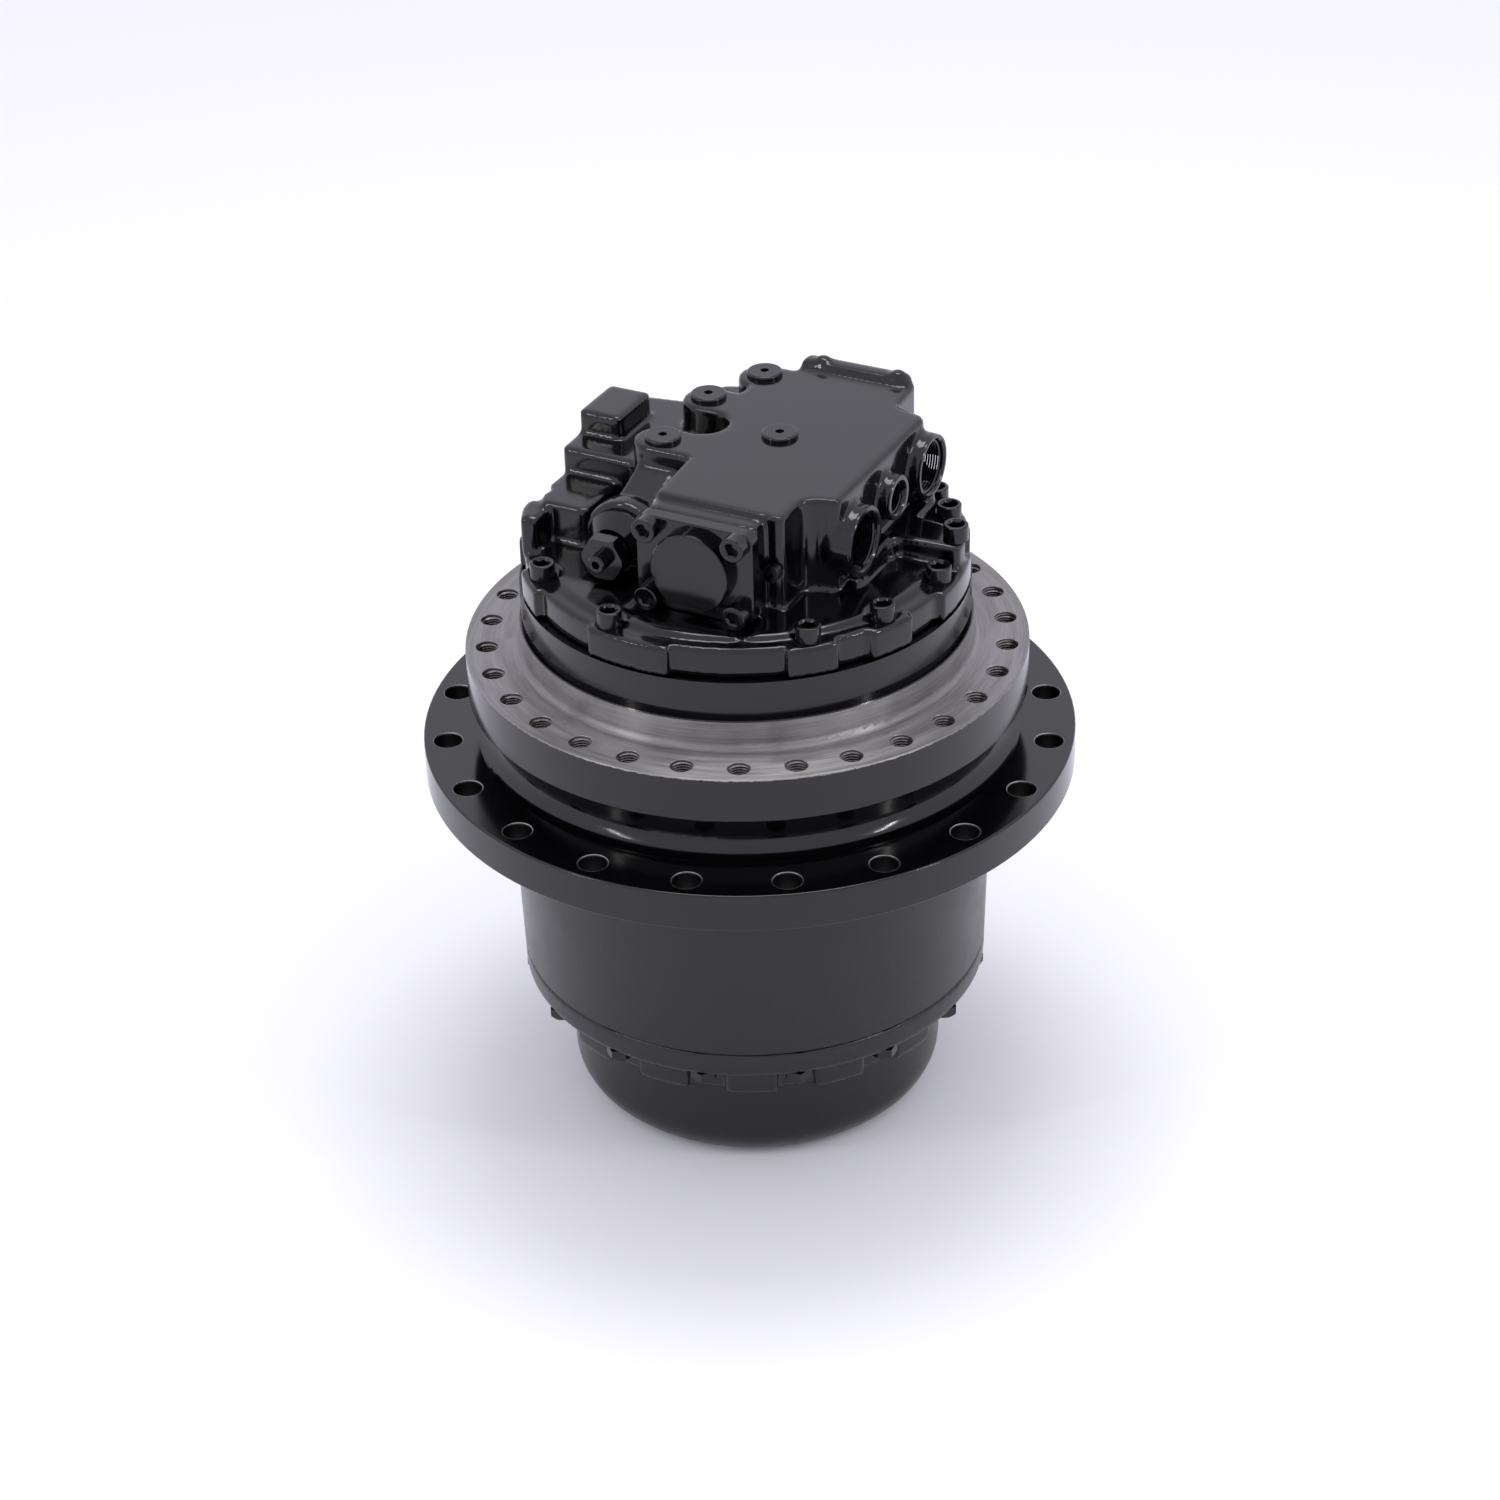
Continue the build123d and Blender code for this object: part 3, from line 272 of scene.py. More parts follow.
def ramp(tree, value, low, high, to_low=0.0, to_high=1.0):
    """A smooth step from to_low to to_high while value goes from low to high."""
    node = add_node(tree, "ShaderNodeMapRange", interpolation_type="SMOOTHSTEP")
    feed(tree, node.inputs["Value"], value)
    feed(tree, node.inputs["From Min"], low)
    feed(tree, node.inputs["From Max"], high)
    feed(tree, node.inputs["To Min"], to_low)
    feed(tree, node.inputs["To Max"], to_high)
    return node.outputs["Result"]


def noise(tree, vector, scale, detail=3.0, roughness=0.55):
    """A Noise texture's value over a vector, from 0 to 1."""
    node = add_node(tree, "ShaderNodeTexNoise", noise_dimensions="3D")
    feed(tree, node.inputs["Vector"], vector)
    feed(tree, node.inputs["Scale"], scale)
    feed(tree, node.inputs["Detail"], detail)
    feed(tree, node.inputs["Roughness"], roughness)
    return node.outputs["Fac"]


def mix_colours(tree, share, first, second):
    """One colour turning into another by a share from 0 to 1."""
    node = add_node(tree, "ShaderNodeMix", data_type="RGBA")
    feed(tree, node.inputs["Factor"], share)
    feed(tree, node.inputs["A"], first)
    feed(tree, node.inputs["B"], second)
    return node.outputs["Result"]


def new_group(name, inputs, outputs):
    """An empty shader node group: inputs as {name: (type, default)}, outputs as {name: type}."""
    group = bpy.data.node_groups.new(name, "ShaderNodeTree")
    for label, (kind, default) in inputs.items():
        socket = group.interface.new_socket(label, in_out="INPUT", socket_type="NodeSocket" + kind)
        socket.default_value = default
    for label, kind in outputs.items():
        group.interface.new_socket(label, in_out="OUTPUT", socket_type="NodeSocket" + kind)
    return group, group.nodes.new("NodeGroupInput"), group.nodes.new("NodeGroupOutput")


def place_group(tree, group, **values):
    """Puts a group into a tree with its own values; underscores in a name stand for spaces."""
    node = add_node(tree, "ShaderNodeGroup", node_tree=group)
    for key, value in values.items():
        feed(tree, node.inputs[key.replace("_", " ")], value)
    return node


# %% [markdown]
# ## Shared effects
# Five effects come back in several materials, so each is a group that is built once: the slight waves of a
# sprayed coat, the grain of a sand casting, the rings that a lathe leaves, the distance to the nearest hole
# of a bolt circle, which tells paint from bare metal, and the outside edges, where paint is thin.

# %% Spray waves and casting grain
def build_spray_group():
    """Waves of a sprayed coat: a height, and a share that varies the gloss."""
    group, inside, outside = new_group(
        "sprayed_coat",
        {"Wave scale": ("Float", 160.0), "Speck scale": ("Float", 900.0)},
        {"Height": "Float", "Gloss change": "Float"},
    )
    place = add_node(group, "ShaderNodeTexCoord").outputs["Object"]
    waves = noise(group, place, inside.outputs["Wave scale"], 2.0, 0.4)
    specks = noise(group, place, inside.outputs["Speck scale"], 2.0, 0.5)
    few = ramp(group, specks, 0.72, 0.8)
    height = calc(group, "ADD", waves, calc(group, "MULTIPLY", few, 0.6))
    broad = noise(group, place, 14.0, 3.0, 0.6)
    group.links.new(height, outside.inputs["Height"])
    group.links.new(ramp(group, broad, 0.3, 0.7), outside.inputs["Gloss change"])
    return group


def build_cast_group():
    """Grain of a sand casting under paint: soft pits on soft waves."""
    group, inside, outside = new_group(
        "casting_grain",
        {"Grain scale": ("Float", 420.0)},
        {"Height": "Float", "Pits": "Float"},
    )
    place = add_node(group, "ShaderNodeTexCoord").outputs["Object"]
    grain = noise(group, place, inside.outputs["Grain scale"], 4.0, 0.6)
    lumps = noise(group, place, calc(group, "MULTIPLY", inside.outputs["Grain scale"], 0.12), 2.0, 0.5)
    pits = ramp(group, grain, 0.36, 0.44, 1.0, 0.0)
    height = calc(group, "SUBTRACT", calc(group, "ADD", grain, lumps), calc(group, "MULTIPLY", pits, 0.5))
    group.links.new(height, outside.inputs["Height"])
    group.links.new(pits, outside.inputs["Pits"])
    return group


# %% Lathe rings
def build_lathe_group():
    """Rings that a lathe leaves round Z: they change only with the radius and a little with the angle."""
    group, inside, outside = new_group(
        "lathe_rings",
        {"Ring scale": ("Float", 900.0)},
        {"Height": "Float", "Shade": "Float"},
    )
    _, x, y, z, radius = object_place(group)
    angle = calc(group, "ARCTAN2", y, x)
    spread = add_node(group, "ShaderNodeCombineXYZ")
    group.links.new(radius, spread.inputs[0])
    group.links.new(calc(group, "MULTIPLY", angle, 0.004), spread.inputs[1])
    group.links.new(z, spread.inputs[2])
    rings = noise(group, spread.outputs[0], inside.outputs["Ring scale"], 4.0, 0.7)
    broad = add_node(group, "ShaderNodeCombineXYZ")
    group.links.new(calc(group, "MULTIPLY", radius, 3.0), broad.inputs[0])
    group.links.new(calc(group, "MULTIPLY", angle, 0.05), broad.inputs[1])
    bands = noise(group, broad.outputs[0], 40.0, 3.0, 0.6)
    group.links.new(rings, outside.inputs["Height"])
    shade = calc(group, "ADD", calc(group, "MULTIPLY", rings, 0.5), calc(group, "MULTIPLY", bands, 0.5))
    group.links.new(shade, outside.inputs["Shade"])
    return group


# %% Distance to a circle of holes
def build_hole_group():
    """Distance in metres from the axis of the nearest hole of a bolt circle round Z.
    The angle is folded into one hole's share of the circle, and the distance is taken in that flat sector."""
    group, inside, outside = new_group(
        "hole_distance",
        {"Circle": ("Float", 0.2), "Count": ("Float", 12.0), "First angle": ("Float", 0.0)},
        {"Distance": "Float"},
    )
    _, x, y, _, radius = object_place(group)
    step = calc(group, "DIVIDE", 2 * math.pi, inside.outputs["Count"])
    half_step = calc(group, "MULTIPLY", step, 0.5)
    turned = calc(group, "SUBTRACT", calc(group, "ARCTAN2", y, x), inside.outputs["First angle"])
    folded = calc(group, "FLOORED_MODULO", calc(group, "ADD", turned, half_step), step)
    folded = calc(group, "SUBTRACT", folded, half_step)
    outwards = calc(group, "MULTIPLY", radius, calc(group, "COSINE", folded))
    along = calc(group, "SUBTRACT", outwards, inside.outputs["Circle"])
    across = calc(group, "MULTIPLY", radius, calc(group, "SINE", folded))
    along_squared = calc(group, "MULTIPLY", along, along)
    across_squared = calc(group, "MULTIPLY", across, across)
    squares = calc(group, "ADD", along_squared, across_squared)
    group.links.new(calc(group, "SQRT", squares), outside.inputs["Distance"])
    return group


# %% Outside edges
def build_edge_group():
    """Outside edges: where a rounded normal turns away from the true one, broken up by noise."""
    group, inside, outside = new_group(
        "worn_edges",
        {"Radius": ("Float", 0.0006), "Break up": ("Float", 300.0)},
        {"Edge": "Float"},
    )
    rounded = add_node(group, "ShaderNodeBevel", samples=4)
    group.links.new(inside.outputs["Radius"], rounded.inputs["Radius"])
    true = add_node(group, "ShaderNodeNewGeometry").outputs["Normal"]
    dot = add_node(group, "ShaderNodeVectorMath", operation="DOT_PRODUCT")
    group.links.new(rounded.outputs[0], dot.inputs[0])
    group.links.new(true, dot.inputs[1])
    edge = ramp(group, dot.outputs["Value"], 0.985, 0.9)
    place = add_node(group, "ShaderNodeTexCoord").outputs["Object"]
    patches = noise(group, place, inside.outputs["Break up"], 4.0, 0.65)
    group.links.new(calc(group, "MULTIPLY", edge, ramp(group, patches, 0.48, 0.6)), outside.inputs["Edge"])
    return group


spray_group = build_spray_group()
cast_group = build_cast_group()
lathe_group = build_lathe_group()
hole_group = build_hole_group()
edge_group = build_edge_group()

# %% [markdown]
# ## Black paint
# The castings are sprayed in a deep black that is almost a mirror: its colour is close to nothing, and what
# the eye sees is the studio in its clear surface. So the base colour stays very dark and the roughness low,
# and the life comes from spray waves, specks of dust under the coat, and bare metal on worn edges.

# %% Paint material
paint_colour = (0.0016, 0.0015, 0.002, 1)
dark_steel_colour = (0.11, 0.1, 0.095, 1)
# Painted shade: the colour that bare steel turns to down in the holes, where shade falls.
hole_shade_colour = (0.035, 0.033, 0.031, 1)


def start_material(name):
    """A material with an empty tree, its Principled shader and its output."""
    material = bpy.data.materials.new(name)
    material.use_nodes = True
    tree = material.node_tree
    tree.nodes.clear()
    shader = add_node(tree, "ShaderNodeBsdfPrincipled")
    output = add_node(tree, "ShaderNodeOutputMaterial")
    tree.links.new(shader.outputs[0], output.inputs[0])
    return material, tree, shader


def raise_normal(tree, shader, height, distance, strength=1.0):
    """A Bump node from a height to the shader's normal; distance is in metres."""
    bump = add_node(tree, "ShaderNodeBump")
    feed(tree, bump.inputs["Height"], height)
    bump.inputs["Distance"].default_value = distance
    bump.inputs["Strength"].default_value = strength
    tree.links.new(bump.outputs[0], shader.inputs["Normal"])


def paint_material(name, gloss_low, gloss_high, wave_height, grain_height=0.0, edge_radius=0.0006):
    """Black paint on steel: worn edges are bare, and the gloss changes a little from place to place."""
    material, tree, shader = start_material(name)
    spray = place_group(tree, spray_group)
    edges = place_group(tree, edge_group, Radius=edge_radius)
    bare = calc(tree, "MULTIPLY", edges.outputs["Edge"], 0.5)
    height = calc(tree, "MULTIPLY", spray.outputs["Height"], wave_height)
    if grain_height > 0:
        cast = place_group(tree, cast_group)
        height = calc(tree, "ADD", height, calc(tree, "MULTIPLY", cast.outputs["Height"], grain_height))
    feed(tree, shader.inputs["Base Color"], mix_colours(tree, bare, paint_colour, dark_steel_colour))
    feed(tree, shader.inputs["Metallic"], bare)
    roughness = ramp(tree, spray.outputs["Gloss change"], 0.0, 1.0, gloss_low, gloss_high)
    feed(tree, shader.inputs["Roughness"], roughness)
    raise_normal(tree, shader, height, mm)
    return material


gloss_paint = paint_material("gloss_black_paint", 0.1, 0.16, 0.004)
satin_paint = paint_material("satin_black_paint", 0.26, 0.34, 0.01, grain_height=0.03)
bolt_paint = paint_material("painted_screws", 0.13, 0.2, 0.006, edge_radius=0.0005)


# %% [markdown]
# ## The spindle: paint, a turned face and tapped holes in one casting
# The frame flange was painted first and its face turned afterwards, so the bare steel starts at a crisp ring
# and the paint beside it is chipped. The material reads the position: steel on the face and the pilot, steel
# darkened with painted shade down in the holes, and paint elsewhere.

# %% Turned steel inputs
def steel_inputs(tree, ring_scale):
    """Colour, roughness and height of bare turned steel."""
    rings = place_group(tree, lathe_group, Ring_scale=ring_scale)
    place = add_node(tree, "ShaderNodeTexCoord").outputs["Object"]
    stains = noise(tree, place, 22.0, 4.0, 0.6)
    shade = ramp(tree, rings.outputs["Shade"], 0.35, 0.65)
    light = mix_colours(tree, shade, (0.21, 0.205, 0.2, 1), (0.36, 0.35, 0.345, 1))
    colour = mix_colours(tree, ramp(tree, stains, 0.56, 0.74, 0.0, 0.4), light, (0.14, 0.13, 0.12, 1))
    roughness = ramp(tree, rings.outputs["Shade"], 0.3, 0.7, 0.38, 0.5)
    return colour, roughness, rings.outputs["Height"]


def spindle_material(name, brushed):
    """Bare face, pilot and tapped holes; gloss paint on the flange's side, the groove and the motor case.
    Brushed stretches the reflections across the lathe's rings, from 0 for none to 1."""
    material, tree, shader = start_material(name)
    shader.inputs["Anisotropic"].default_value = brushed
    if brushed > 0:
        shader.inputs["Anisotropic Rotation"].default_value = 0.25
        round_axis = add_node(tree, "ShaderNodeTangent", direction_type="RADIAL", axis="Z")
        tree.links.new(round_axis.outputs[0], shader.inputs["Tangent"])
    place, _, _, z, radius = object_place(tree)
    chips = calc(tree, "SUBTRACT", noise(tree, place, 260.0, 5.0, 0.7), 0.5)
    ragged = calc(tree, "MULTIPLY", chips, 0.0032)
    above_paint = ramp(tree, calc(tree, "ADD", z, ragged), -0.0011, -0.0008)
    below_groove = ramp(tree, z, (pilot_top_z - 0.9) * mm, (pilot_top_z - 0.7) * mm, 1.0, 0.0)
    outside_case = ramp(tree, radius, (pilot_r - 1.6) * mm, (pilot_r - 1.4) * mm)
    face = calc(tree, "MULTIPLY", calc(tree, "MULTIPLY", above_paint, below_groove), outside_case)
    holes = place_group(
        tree, hole_group, Circle=frame_bolt_circle_r * mm, Count=float(frame_bolt_count),
        First_angle=math.radians(frame_bolt_first_angle),
    )
    rim = (frame_bolt_r + 0.3) * mm
    in_hole = ramp(tree, holes.outputs["Distance"], rim, rim + 0.2 * mm, 1.0, 0.0)
    bare = calc(tree, "MAXIMUM", face, in_hole)
    spray = place_group(tree, spray_group)
    colour, roughness, rings = steel_inputs(tree, 900.0)
    # Painted shade: the steel darkens from 0.8 mm to 4 mm below the face, down in the tapped holes.
    colour = mix_colours(tree, ramp(tree, z, -0.004, -0.0008, 1.0, 0.0), colour, hole_shade_colour)
    feed(tree, shader.inputs["Base Color"], mix_colours(tree, bare, paint_colour, colour))
    feed(tree, shader.inputs["Metallic"], bare)
    painted_roughness = ramp(tree, spray.outputs["Gloss change"], 0.0, 1.0, 0.12, 0.2)
    change = calc(tree, "MULTIPLY", calc(tree, "SUBTRACT", roughness, painted_roughness), bare)
    feed(tree, shader.inputs["Roughness"], calc(tree, "ADD", painted_roughness, change))
    paint_height = calc(tree, "MULTIPLY", spray.outputs["Height"], 0.006)
    step = calc(tree, "MULTIPLY", calc(tree, "SUBTRACT", 1.0, bare), 0.08)
    ring_height = calc(tree, "MULTIPLY", calc(tree, "MULTIPLY", rings, bare), 0.02)
    raise_normal(tree, shader, calc(tree, "ADD", calc(tree, "ADD", paint_height, ring_height), step), mm)
    return material


spindle_finish = spindle_material("spindle_paint_and_steel", 0.0)
turned_face_finish = spindle_material("turned_face", 0.85)


# %% [markdown]
# ## The hub: gloss flange, satin drum, bare hole rims
# The sprocket flange is turned before it is painted, so it is smooth and shiny, while the drum keeps the
# grain of its casting. The through holes were drilled through the paint, and each has a thin bare rim; below
# the mouth, painted shade darkens the steel of the hole walls.

# %% Hub material
def hub_material():
    """Gloss paint above the flange's underside, satin grain on the drum, and bare steel in the holes."""
    material, tree, shader = start_material("hub_paint")
    _, _, _, z, _ = object_place(tree)
    holes = place_group(
        tree, hole_group, Circle=sprocket_bolt_circle_r * mm, Count=float(sprocket_bolt_count),
        First_angle=math.radians(sprocket_bolt_first_angle),
    )
    rim = (sprocket_bolt_r + 0.5) * mm
    bare = ramp(tree, holes.outputs["Distance"], rim, rim + 0.15 * mm, 1.0, 0.0)
    drum = ramp(tree, z, (drum_top_z - 1.5) * mm, (drum_top_z + 1.5) * mm, 1.0, 0.0)
    spray = place_group(tree, spray_group)
    cast = place_group(tree, cast_group)
    gloss = ramp(tree, spray.outputs["Gloss change"], 0.0, 1.0, 0.1, 0.15)
    satin = ramp(tree, spray.outputs["Gloss change"], 0.0, 1.0, 0.28, 0.36)
    painted = calc(tree, "ADD", gloss, calc(tree, "MULTIPLY", drum, calc(tree, "SUBTRACT", satin, gloss)))
    colour, roughness, rings = steel_inputs(tree, 1200.0)
    # Painted shade: the hole walls darken from 0.4 mm to 2 mm below the flange's top face.
    hole_shade_below_mouth = ramp(tree, z, (sprocket_top_z - 2.0) * mm, (sprocket_top_z - 0.4) * mm, 1.0, 0.0)
    colour = mix_colours(tree, hole_shade_below_mouth, colour, hole_shade_colour)
    feed(tree, shader.inputs["Base Color"], mix_colours(tree, bare, paint_colour, colour))
    feed(tree, shader.inputs["Metallic"], bare)
    change = calc(tree, "MULTIPLY", calc(tree, "SUBTRACT", roughness, painted), bare)
    feed(tree, shader.inputs["Roughness"], calc(tree, "ADD", painted, change))
    waves = calc(tree, "MULTIPLY", spray.outputs["Height"], 0.004)
    grain = calc(tree, "MULTIPLY", calc(tree, "MULTIPLY", cast.outputs["Height"], drum), 0.05)
    raise_normal(tree, shader, calc(tree, "ADD", waves, grain), mm)
    return material


hub_finish = hub_material()


# %% [markdown]
# ## Steels, bronze and rubber inside
# The gears, bearings and motor parts don't show when the drive is closed, but the parts are used apart too,
# so each has its own finish: ground steel, turned steel, polished balls, bronze, brake lining and rubber.

# %% Inner materials
def inner_material(name, dark, light, metallic, rough_low, rough_high, scale, depth):
    """A surface whose colour, gloss and height follow the same fine noise."""
    material, tree, shader = start_material(name)
    place = add_node(tree, "ShaderNodeTexCoord").outputs["Object"]
    grain = noise(tree, place, scale, 4.0, 0.6)
    broad = noise(tree, place, scale * 0.08, 3.0, 0.6)
    both = calc(tree, "ADD", calc(tree, "MULTIPLY", grain, 0.5), calc(tree, "MULTIPLY", broad, 0.5))
    feed(tree, shader.inputs["Base Color"], mix_colours(tree, ramp(tree, both, 0.35, 0.65), dark, light))
    shader.inputs["Metallic"].default_value = metallic
    feed(tree, shader.inputs["Roughness"], ramp(tree, grain, 0.3, 0.7, rough_low, rough_high))
    raise_normal(tree, shader, grain, depth * mm)
    return material


inner_finishes = {
    "gear_steel": inner_material(
        "ground_gear_steel", dark=(0.3, 0.3, 0.31, 1), light=(0.48, 0.48, 0.5, 1), metallic=1.0,
        rough_low=0.22, rough_high=0.36, scale=500.0, depth=0.02,
    ),
    "machined_steel": inner_material(
        "turned_steel", dark=(0.36, 0.36, 0.37, 1), light=(0.55, 0.55, 0.56, 1), metallic=1.0,
        rough_low=0.28, rough_high=0.42, scale=700.0, depth=0.02,
    ),
    "bearing_steel": inner_material(
        "polished_steel", dark=(0.55, 0.55, 0.57, 1), light=(0.66, 0.66, 0.68, 1), metallic=1.0,
        rough_low=0.08, rough_high=0.16, scale=300.0, depth=0.005,
    ),
    "bearing_bronze": inner_material(
        "bearing_bronze", dark=(0.42, 0.25, 0.1, 1), light=(0.62, 0.41, 0.18, 1), metallic=1.0,
        rough_low=0.28, rough_high=0.4, scale=400.0, depth=0.02,
    ),
    "cast_iron": inner_material(
        "grey_cast_iron", dark=(0.1, 0.1, 0.1, 1), light=(0.18, 0.18, 0.18, 1), metallic=0.8,
        rough_low=0.45, rough_high=0.6, scale=300.0, depth=0.08,
    ),
    "spring_steel": inner_material(
        "spring_steel", dark=(0.14, 0.14, 0.16, 1), light=(0.26, 0.26, 0.28, 1), metallic=1.0,
        rough_low=0.3, rough_high=0.42, scale=600.0, depth=0.01,
    ),
    "friction_lining": inner_material(
        "friction_lining", dark=(0.07, 0.05, 0.035, 1), light=(0.16, 0.12, 0.09, 1), metallic=0.0,
        rough_low=0.7, rough_high=0.85, scale=800.0, depth=0.1,
    ),
    "seal_rubber": inner_material(
        "seal_rubber", dark=(0.015, 0.015, 0.015, 1), light=(0.035, 0.035, 0.035, 1), metallic=0.0,
        rough_low=0.5, rough_high=0.62, scale=500.0, depth=0.03,
    ),
}
thread_steel = inner_material(
    "thread_steel", dark=(0.12, 0.115, 0.11, 1), light=(0.24, 0.23, 0.22, 1), metallic=1.0,
    rough_low=0.24, rough_high=0.36, scale=900.0, depth=0.02,
)


def dress(obj, material):
    """Gives an object one material in all its slots."""
    obj.data.materials.clear()
    obj.data.materials.append(material)


slot_of = {entry["node"]: entry["material_slot"] for entry in frame["record"]["subparts"]}
outer_finishes = {
    "spindle_housing": spindle_finish,
    "hub_housing": hub_finish,
    "end_cover": satin_paint,
    "valve_head": gloss_paint,
    "front_cover": gloss_paint,
    "spool_cap": gloss_paint,
    "relief_valve_body": gloss_paint,
}
for name, node in nodes.items():
    dress(node, outer_finishes.get(name) or inner_finishes.get(slot_of[name]) or bolt_paint)
print("dressed CAD nodes:", len(nodes))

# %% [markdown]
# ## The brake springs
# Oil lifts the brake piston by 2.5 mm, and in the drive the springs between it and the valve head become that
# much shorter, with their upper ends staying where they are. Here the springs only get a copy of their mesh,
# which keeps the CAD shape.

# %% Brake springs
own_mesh(nodes["brake_springs"])

# %% [markdown]
# ## The cast valve head and the domed cover
# Both are painted castings with many meeting shapes, so both are cast copies. The head's cubes are small
# enough to keep the bosses crisp, and the cover's are a little larger.

# %% Castings
head_casting = cast_copy("valve_head", "valve_head_casting", "spindle", 2.0, 5)
dress(head_casting, gloss_paint)
cover_casting = cast_copy("end_cover", "end_cover_casting", "hub", 2.5, 4)
dress(cover_casting, satin_paint)

# %% [markdown]
# ## The turned face
# A lathe leaves fine rings on the flange's face, and they stretch every reflection outwards from the axis.
# The stretch belongs to the face alone, so a merged copy of the spindle has a second material there, and the
# paint beside it keeps its clear mirror.

# %% Spindle with a turned face
cad_mesh = nodes["spindle_housing"].data
cad_normals = np.empty(len(cad_mesh.loops) * 3)
cad_mesh.corner_normals.foreach_get("vector", cad_normals)
spindle_mesh = merged_mesh("spindle_housing", "spindle_casting")
centres = np.empty(len(spindle_mesh.polygons) * 3)
spindle_mesh.polygons.foreach_get("center", centres)
centres = centres.reshape(-1, 3) / mm
reach = np.hypot(centres[:, 0], centres[:, 1])
on_face = (centres[:, 2] > -1.0) & (centres[:, 2] < pilot_top_z) & (reach > pilot_r - 1.0)
spindle_mesh.shade_smooth()
spindle_mesh.set_sharp_from_angle(angle=math.radians(30))
print("faces kept by the merge:", len(spindle_mesh.loops) == len(cad_mesh.loops))
if len(spindle_mesh.loops) == len(cad_mesh.loops):
    spindle_mesh.normals_split_custom_set(cad_normals.reshape(-1, 3).tolist())
spindle_casting = bpy.data.objects.new("spindle_casting", spindle_mesh)
bpy.context.scene.collection.objects.link(spindle_casting)
dress(spindle_casting, spindle_finish)
spindle_mesh.materials.append(turned_face_finish)
spindle_mesh.polygons.foreach_set("material_index", on_face.astype(np.int32))
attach(spindle_casting, "spindle")
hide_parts("spindle_housing")
print("faces of the spindle and of its turned face:", len(on_face), int(on_face.sum()))

# %% [markdown]
# ## Threads in the frame flange
# The flange's holes are tapped, and the first turns of each thread catch the light. A thread is a ridge on a
# helix, so it is a small triangle carried down that path, and the thirty holes make one piece.

# %% Frame bolt threads
thread_pitch = 2.0
thread_turns = 8
hole_angles = np.radians(frame_bolt_first_angle + np.arange(frame_bolt_count) * 360.0 / frame_bolt_count)
ridges = []
for hole_angle in hole_angles:
    outward = np.array([math.cos(hole_angle), math.sin(hole_angle), 0.0])
    start = frame_bolt_circle_r * outward - 1.6 * up
    crest_r = frame_bolt_r - 1.1
    ridges.append(thread_ridge(start, up, outward, frame_bolt_r, crest_r, thread_pitch, thread_turns, 20))
frame_threads = add_piece("frame_bolt_threads", *stack(ridges), "spindle")
dress(frame_threads, thread_steel)

# %% [markdown]
# ## Hose ports
# Each port is a boss with a flat face and a thread behind it. The face is a painted ring with a rounded rim,
# and behind the thread the casting's own step leads to the smaller oil way. The ring and the thread are
# turned round the port's own axis.

# %% Port rings and threads
for name, port in ports.items():
    middle = head_point(port_face, port["v"], port["z"])
    proud = 0.3
    edge = 0.5
    ring = [
        (port["mouth"] + 1.6, proud),
        (port["rim"] - edge, proud),
        (port["rim"], proud - edge),
        (port["rim"], -1.5),
        (port["mouth"] + 0.4, -3.2),
        (port["mouth"] + 0.4, -1.0),
    ]
    seat = add_piece(name + "_face", *stack([turned_ring(ring, middle, head_across, up, 96)]), "spindle")
    dress(seat, bolt_paint)
    wall = port["mouth"] + 0.1
    start = middle - 2.5 * head_across
    ridge = thread_ridge(start, head_across, up, wall, wall - 1.2, thread_pitch, thread_turns, 48)
    thread = add_piece(name + "_thread", *stack([ridge]), "spindle")
    dress(thread, gloss_paint)

# %% [markdown]
# ## Studio: floor, world and lights
# A gloss black object shows only what it reflects, so the room matters more than the lamps. A pale floor and
# an even pale sky give the flat grey of the top faces, and three soft lamps draw bright lines along corners.

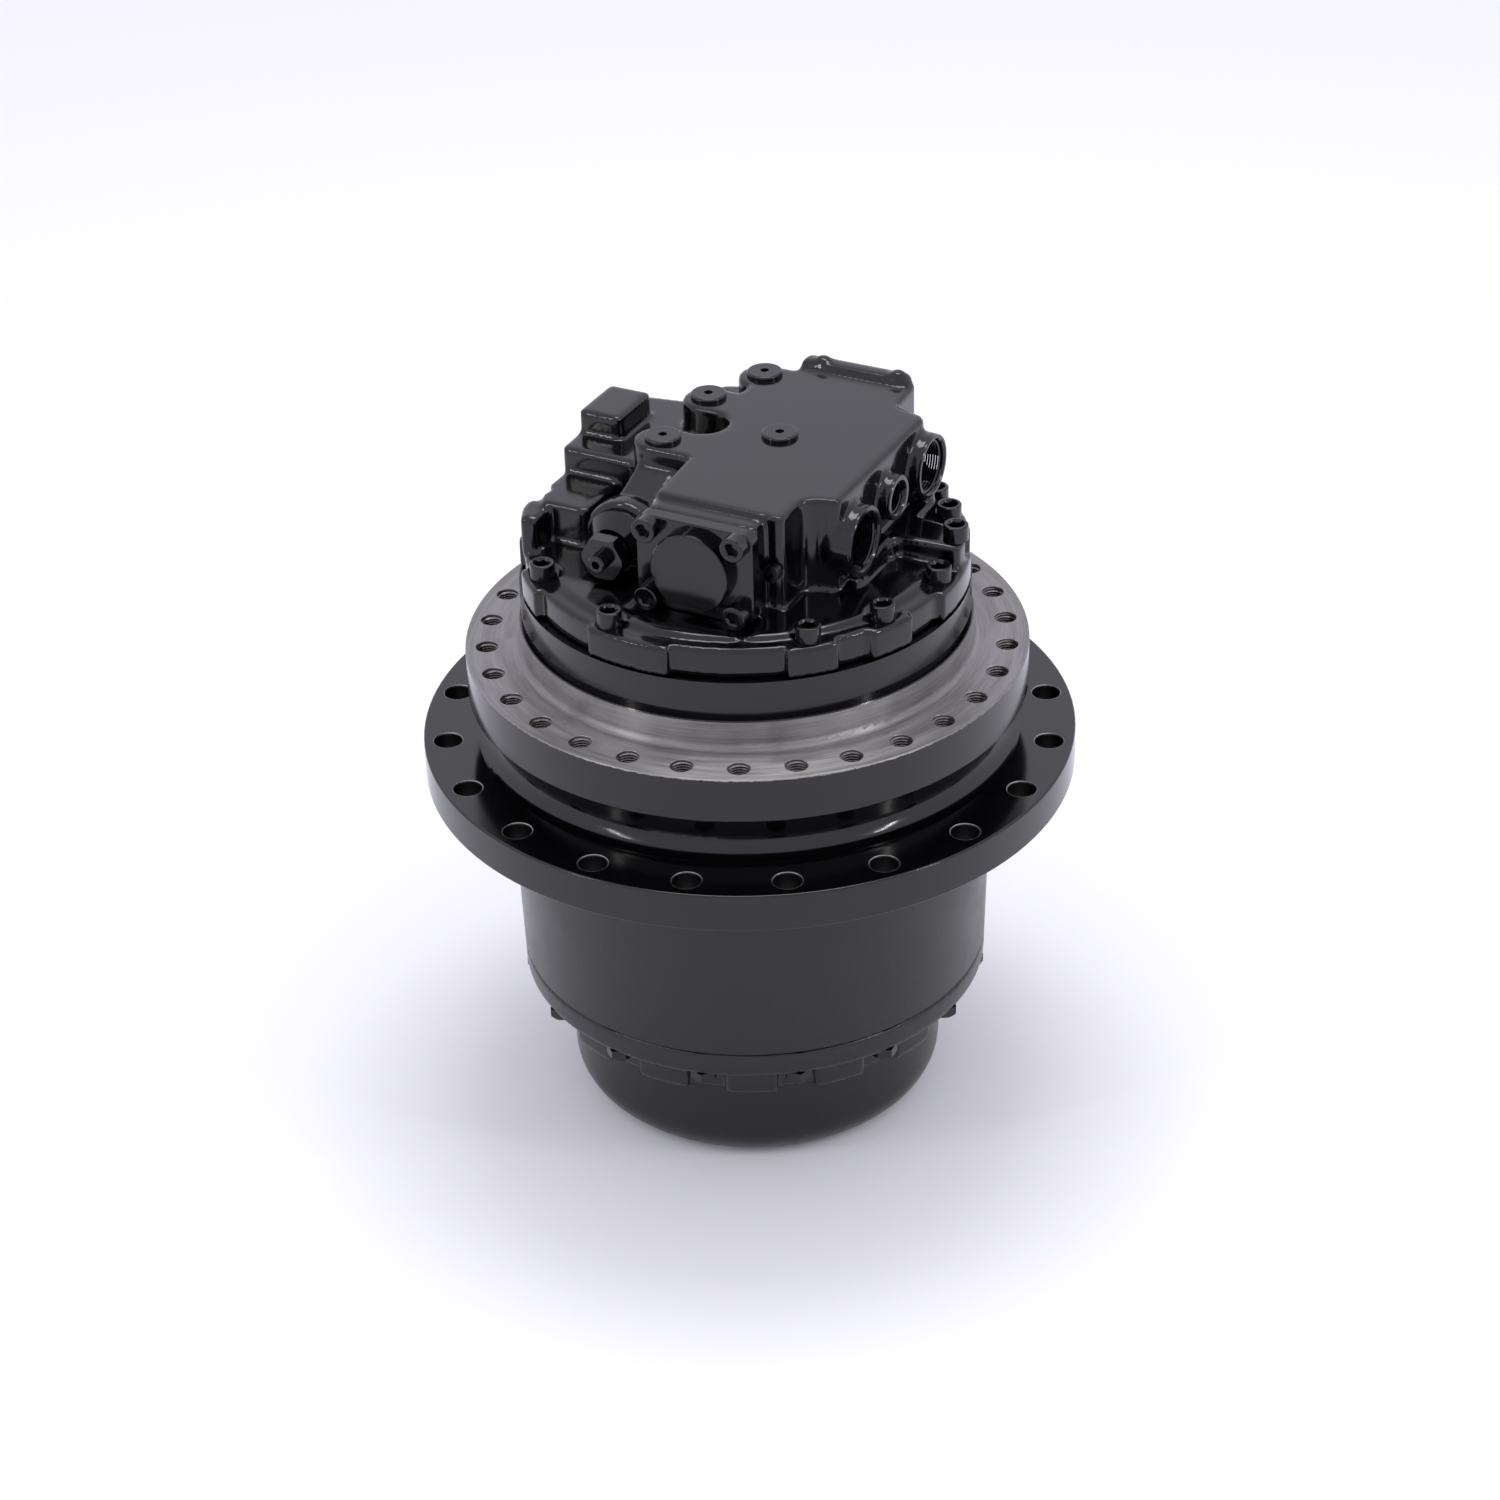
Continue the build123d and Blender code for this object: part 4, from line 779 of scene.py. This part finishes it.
# %% Floor
floor_z = cad_box[0][2]
floor_half = 6.0
floor_points = np.array([[-1, -1, 0], [1, -1, 0], [1, 1, 0], [-1, 1, 0]]) * floor_half
floor_mesh = bpy.data.meshes.new("floor")
floor_mesh.from_pydata((floor_points + [0, 0, floor_z - 0.0002]).tolist(), [], [[0, 1, 2, 3]])
floor = bpy.data.objects.new("floor", floor_mesh)
bpy.context.scene.collection.objects.link(floor)
floor_material, _, floor_shader = start_material("pale_floor")
floor_shader.inputs["Base Color"].default_value = (0.86, 0.86, 0.88, 1)
floor_shader.inputs["Roughness"].default_value = 0.8
dress(floor, floor_material)

# %% World and lamps
world = bpy.data.worlds.new("studio")
world.use_nodes = True
background = world.node_tree.nodes["Background"]
background.inputs["Color"].default_value = (0.97, 0.96, 1.08, 1)
background.inputs["Strength"].default_value = 1.0
bpy.context.scene.world = world


def soft_lamp(name, place, target, width, height, watts):
    """A rectangular area lamp that looks at a point; the places are in metres."""
    data = bpy.data.lights.new(name, "AREA")
    data.shape = "RECTANGLE"
    data.size = width
    data.size_y = height
    data.energy = watts
    lamp = bpy.data.objects.new(name, data)
    bpy.context.scene.collection.objects.link(lamp)
    lamp.location = place
    lamp.rotation_euler = (Vector(target) - Vector(place)).to_track_quat("-Z", "Y").to_euler()
    return lamp


soft_lamp("left_lamp", (-2.2, -1.2, 1.6), (0, 0, 0), 0.04, 1.1, 8)
soft_lamp("right_lamp", (2.2, -1.2, 1.6), (0, 0, 0), 0.05, 1.1, 11)
soft_lamp("top_lamp", (0.05, 0.4, 2.2), (0, -0.1, 0), 1.2, 0.8, 18)

# %% [markdown]
# ## Camera
# The photograph was taken from the front and from above, with the camera tipped a little to one side. A lens
# of 86 mm on a 36 mm sensor gives its narrow view, and the tip is a turn about the line of sight.

# %% Camera
camera_place = Vector((-0.0002, -2.2787, 1.2929))
camera_target = Vector((-0.0002, 0.0, -0.101))
camera_roll = math.radians(-1.52)
camera_data = bpy.data.cameras.new("camera")
camera_data.lens = 86.34
camera_data.sensor_width = 36.0
camera_data.clip_start = 0.05
camera_data.clip_end = 50.0
camera = bpy.data.objects.new("camera", camera_data)
bpy.context.scene.collection.objects.link(camera)
facing = (camera_target - camera_place).to_track_quat("-Z", "Y").to_matrix()
tipped = (facing @ Matrix.Rotation(camera_roll, 3, "Z")).to_4x4()
camera.matrix_world = Matrix.Translation(camera_place) @ tipped
bpy.context.scene.camera = camera
bpy.context.scene.view_settings.view_transform = "Standard"
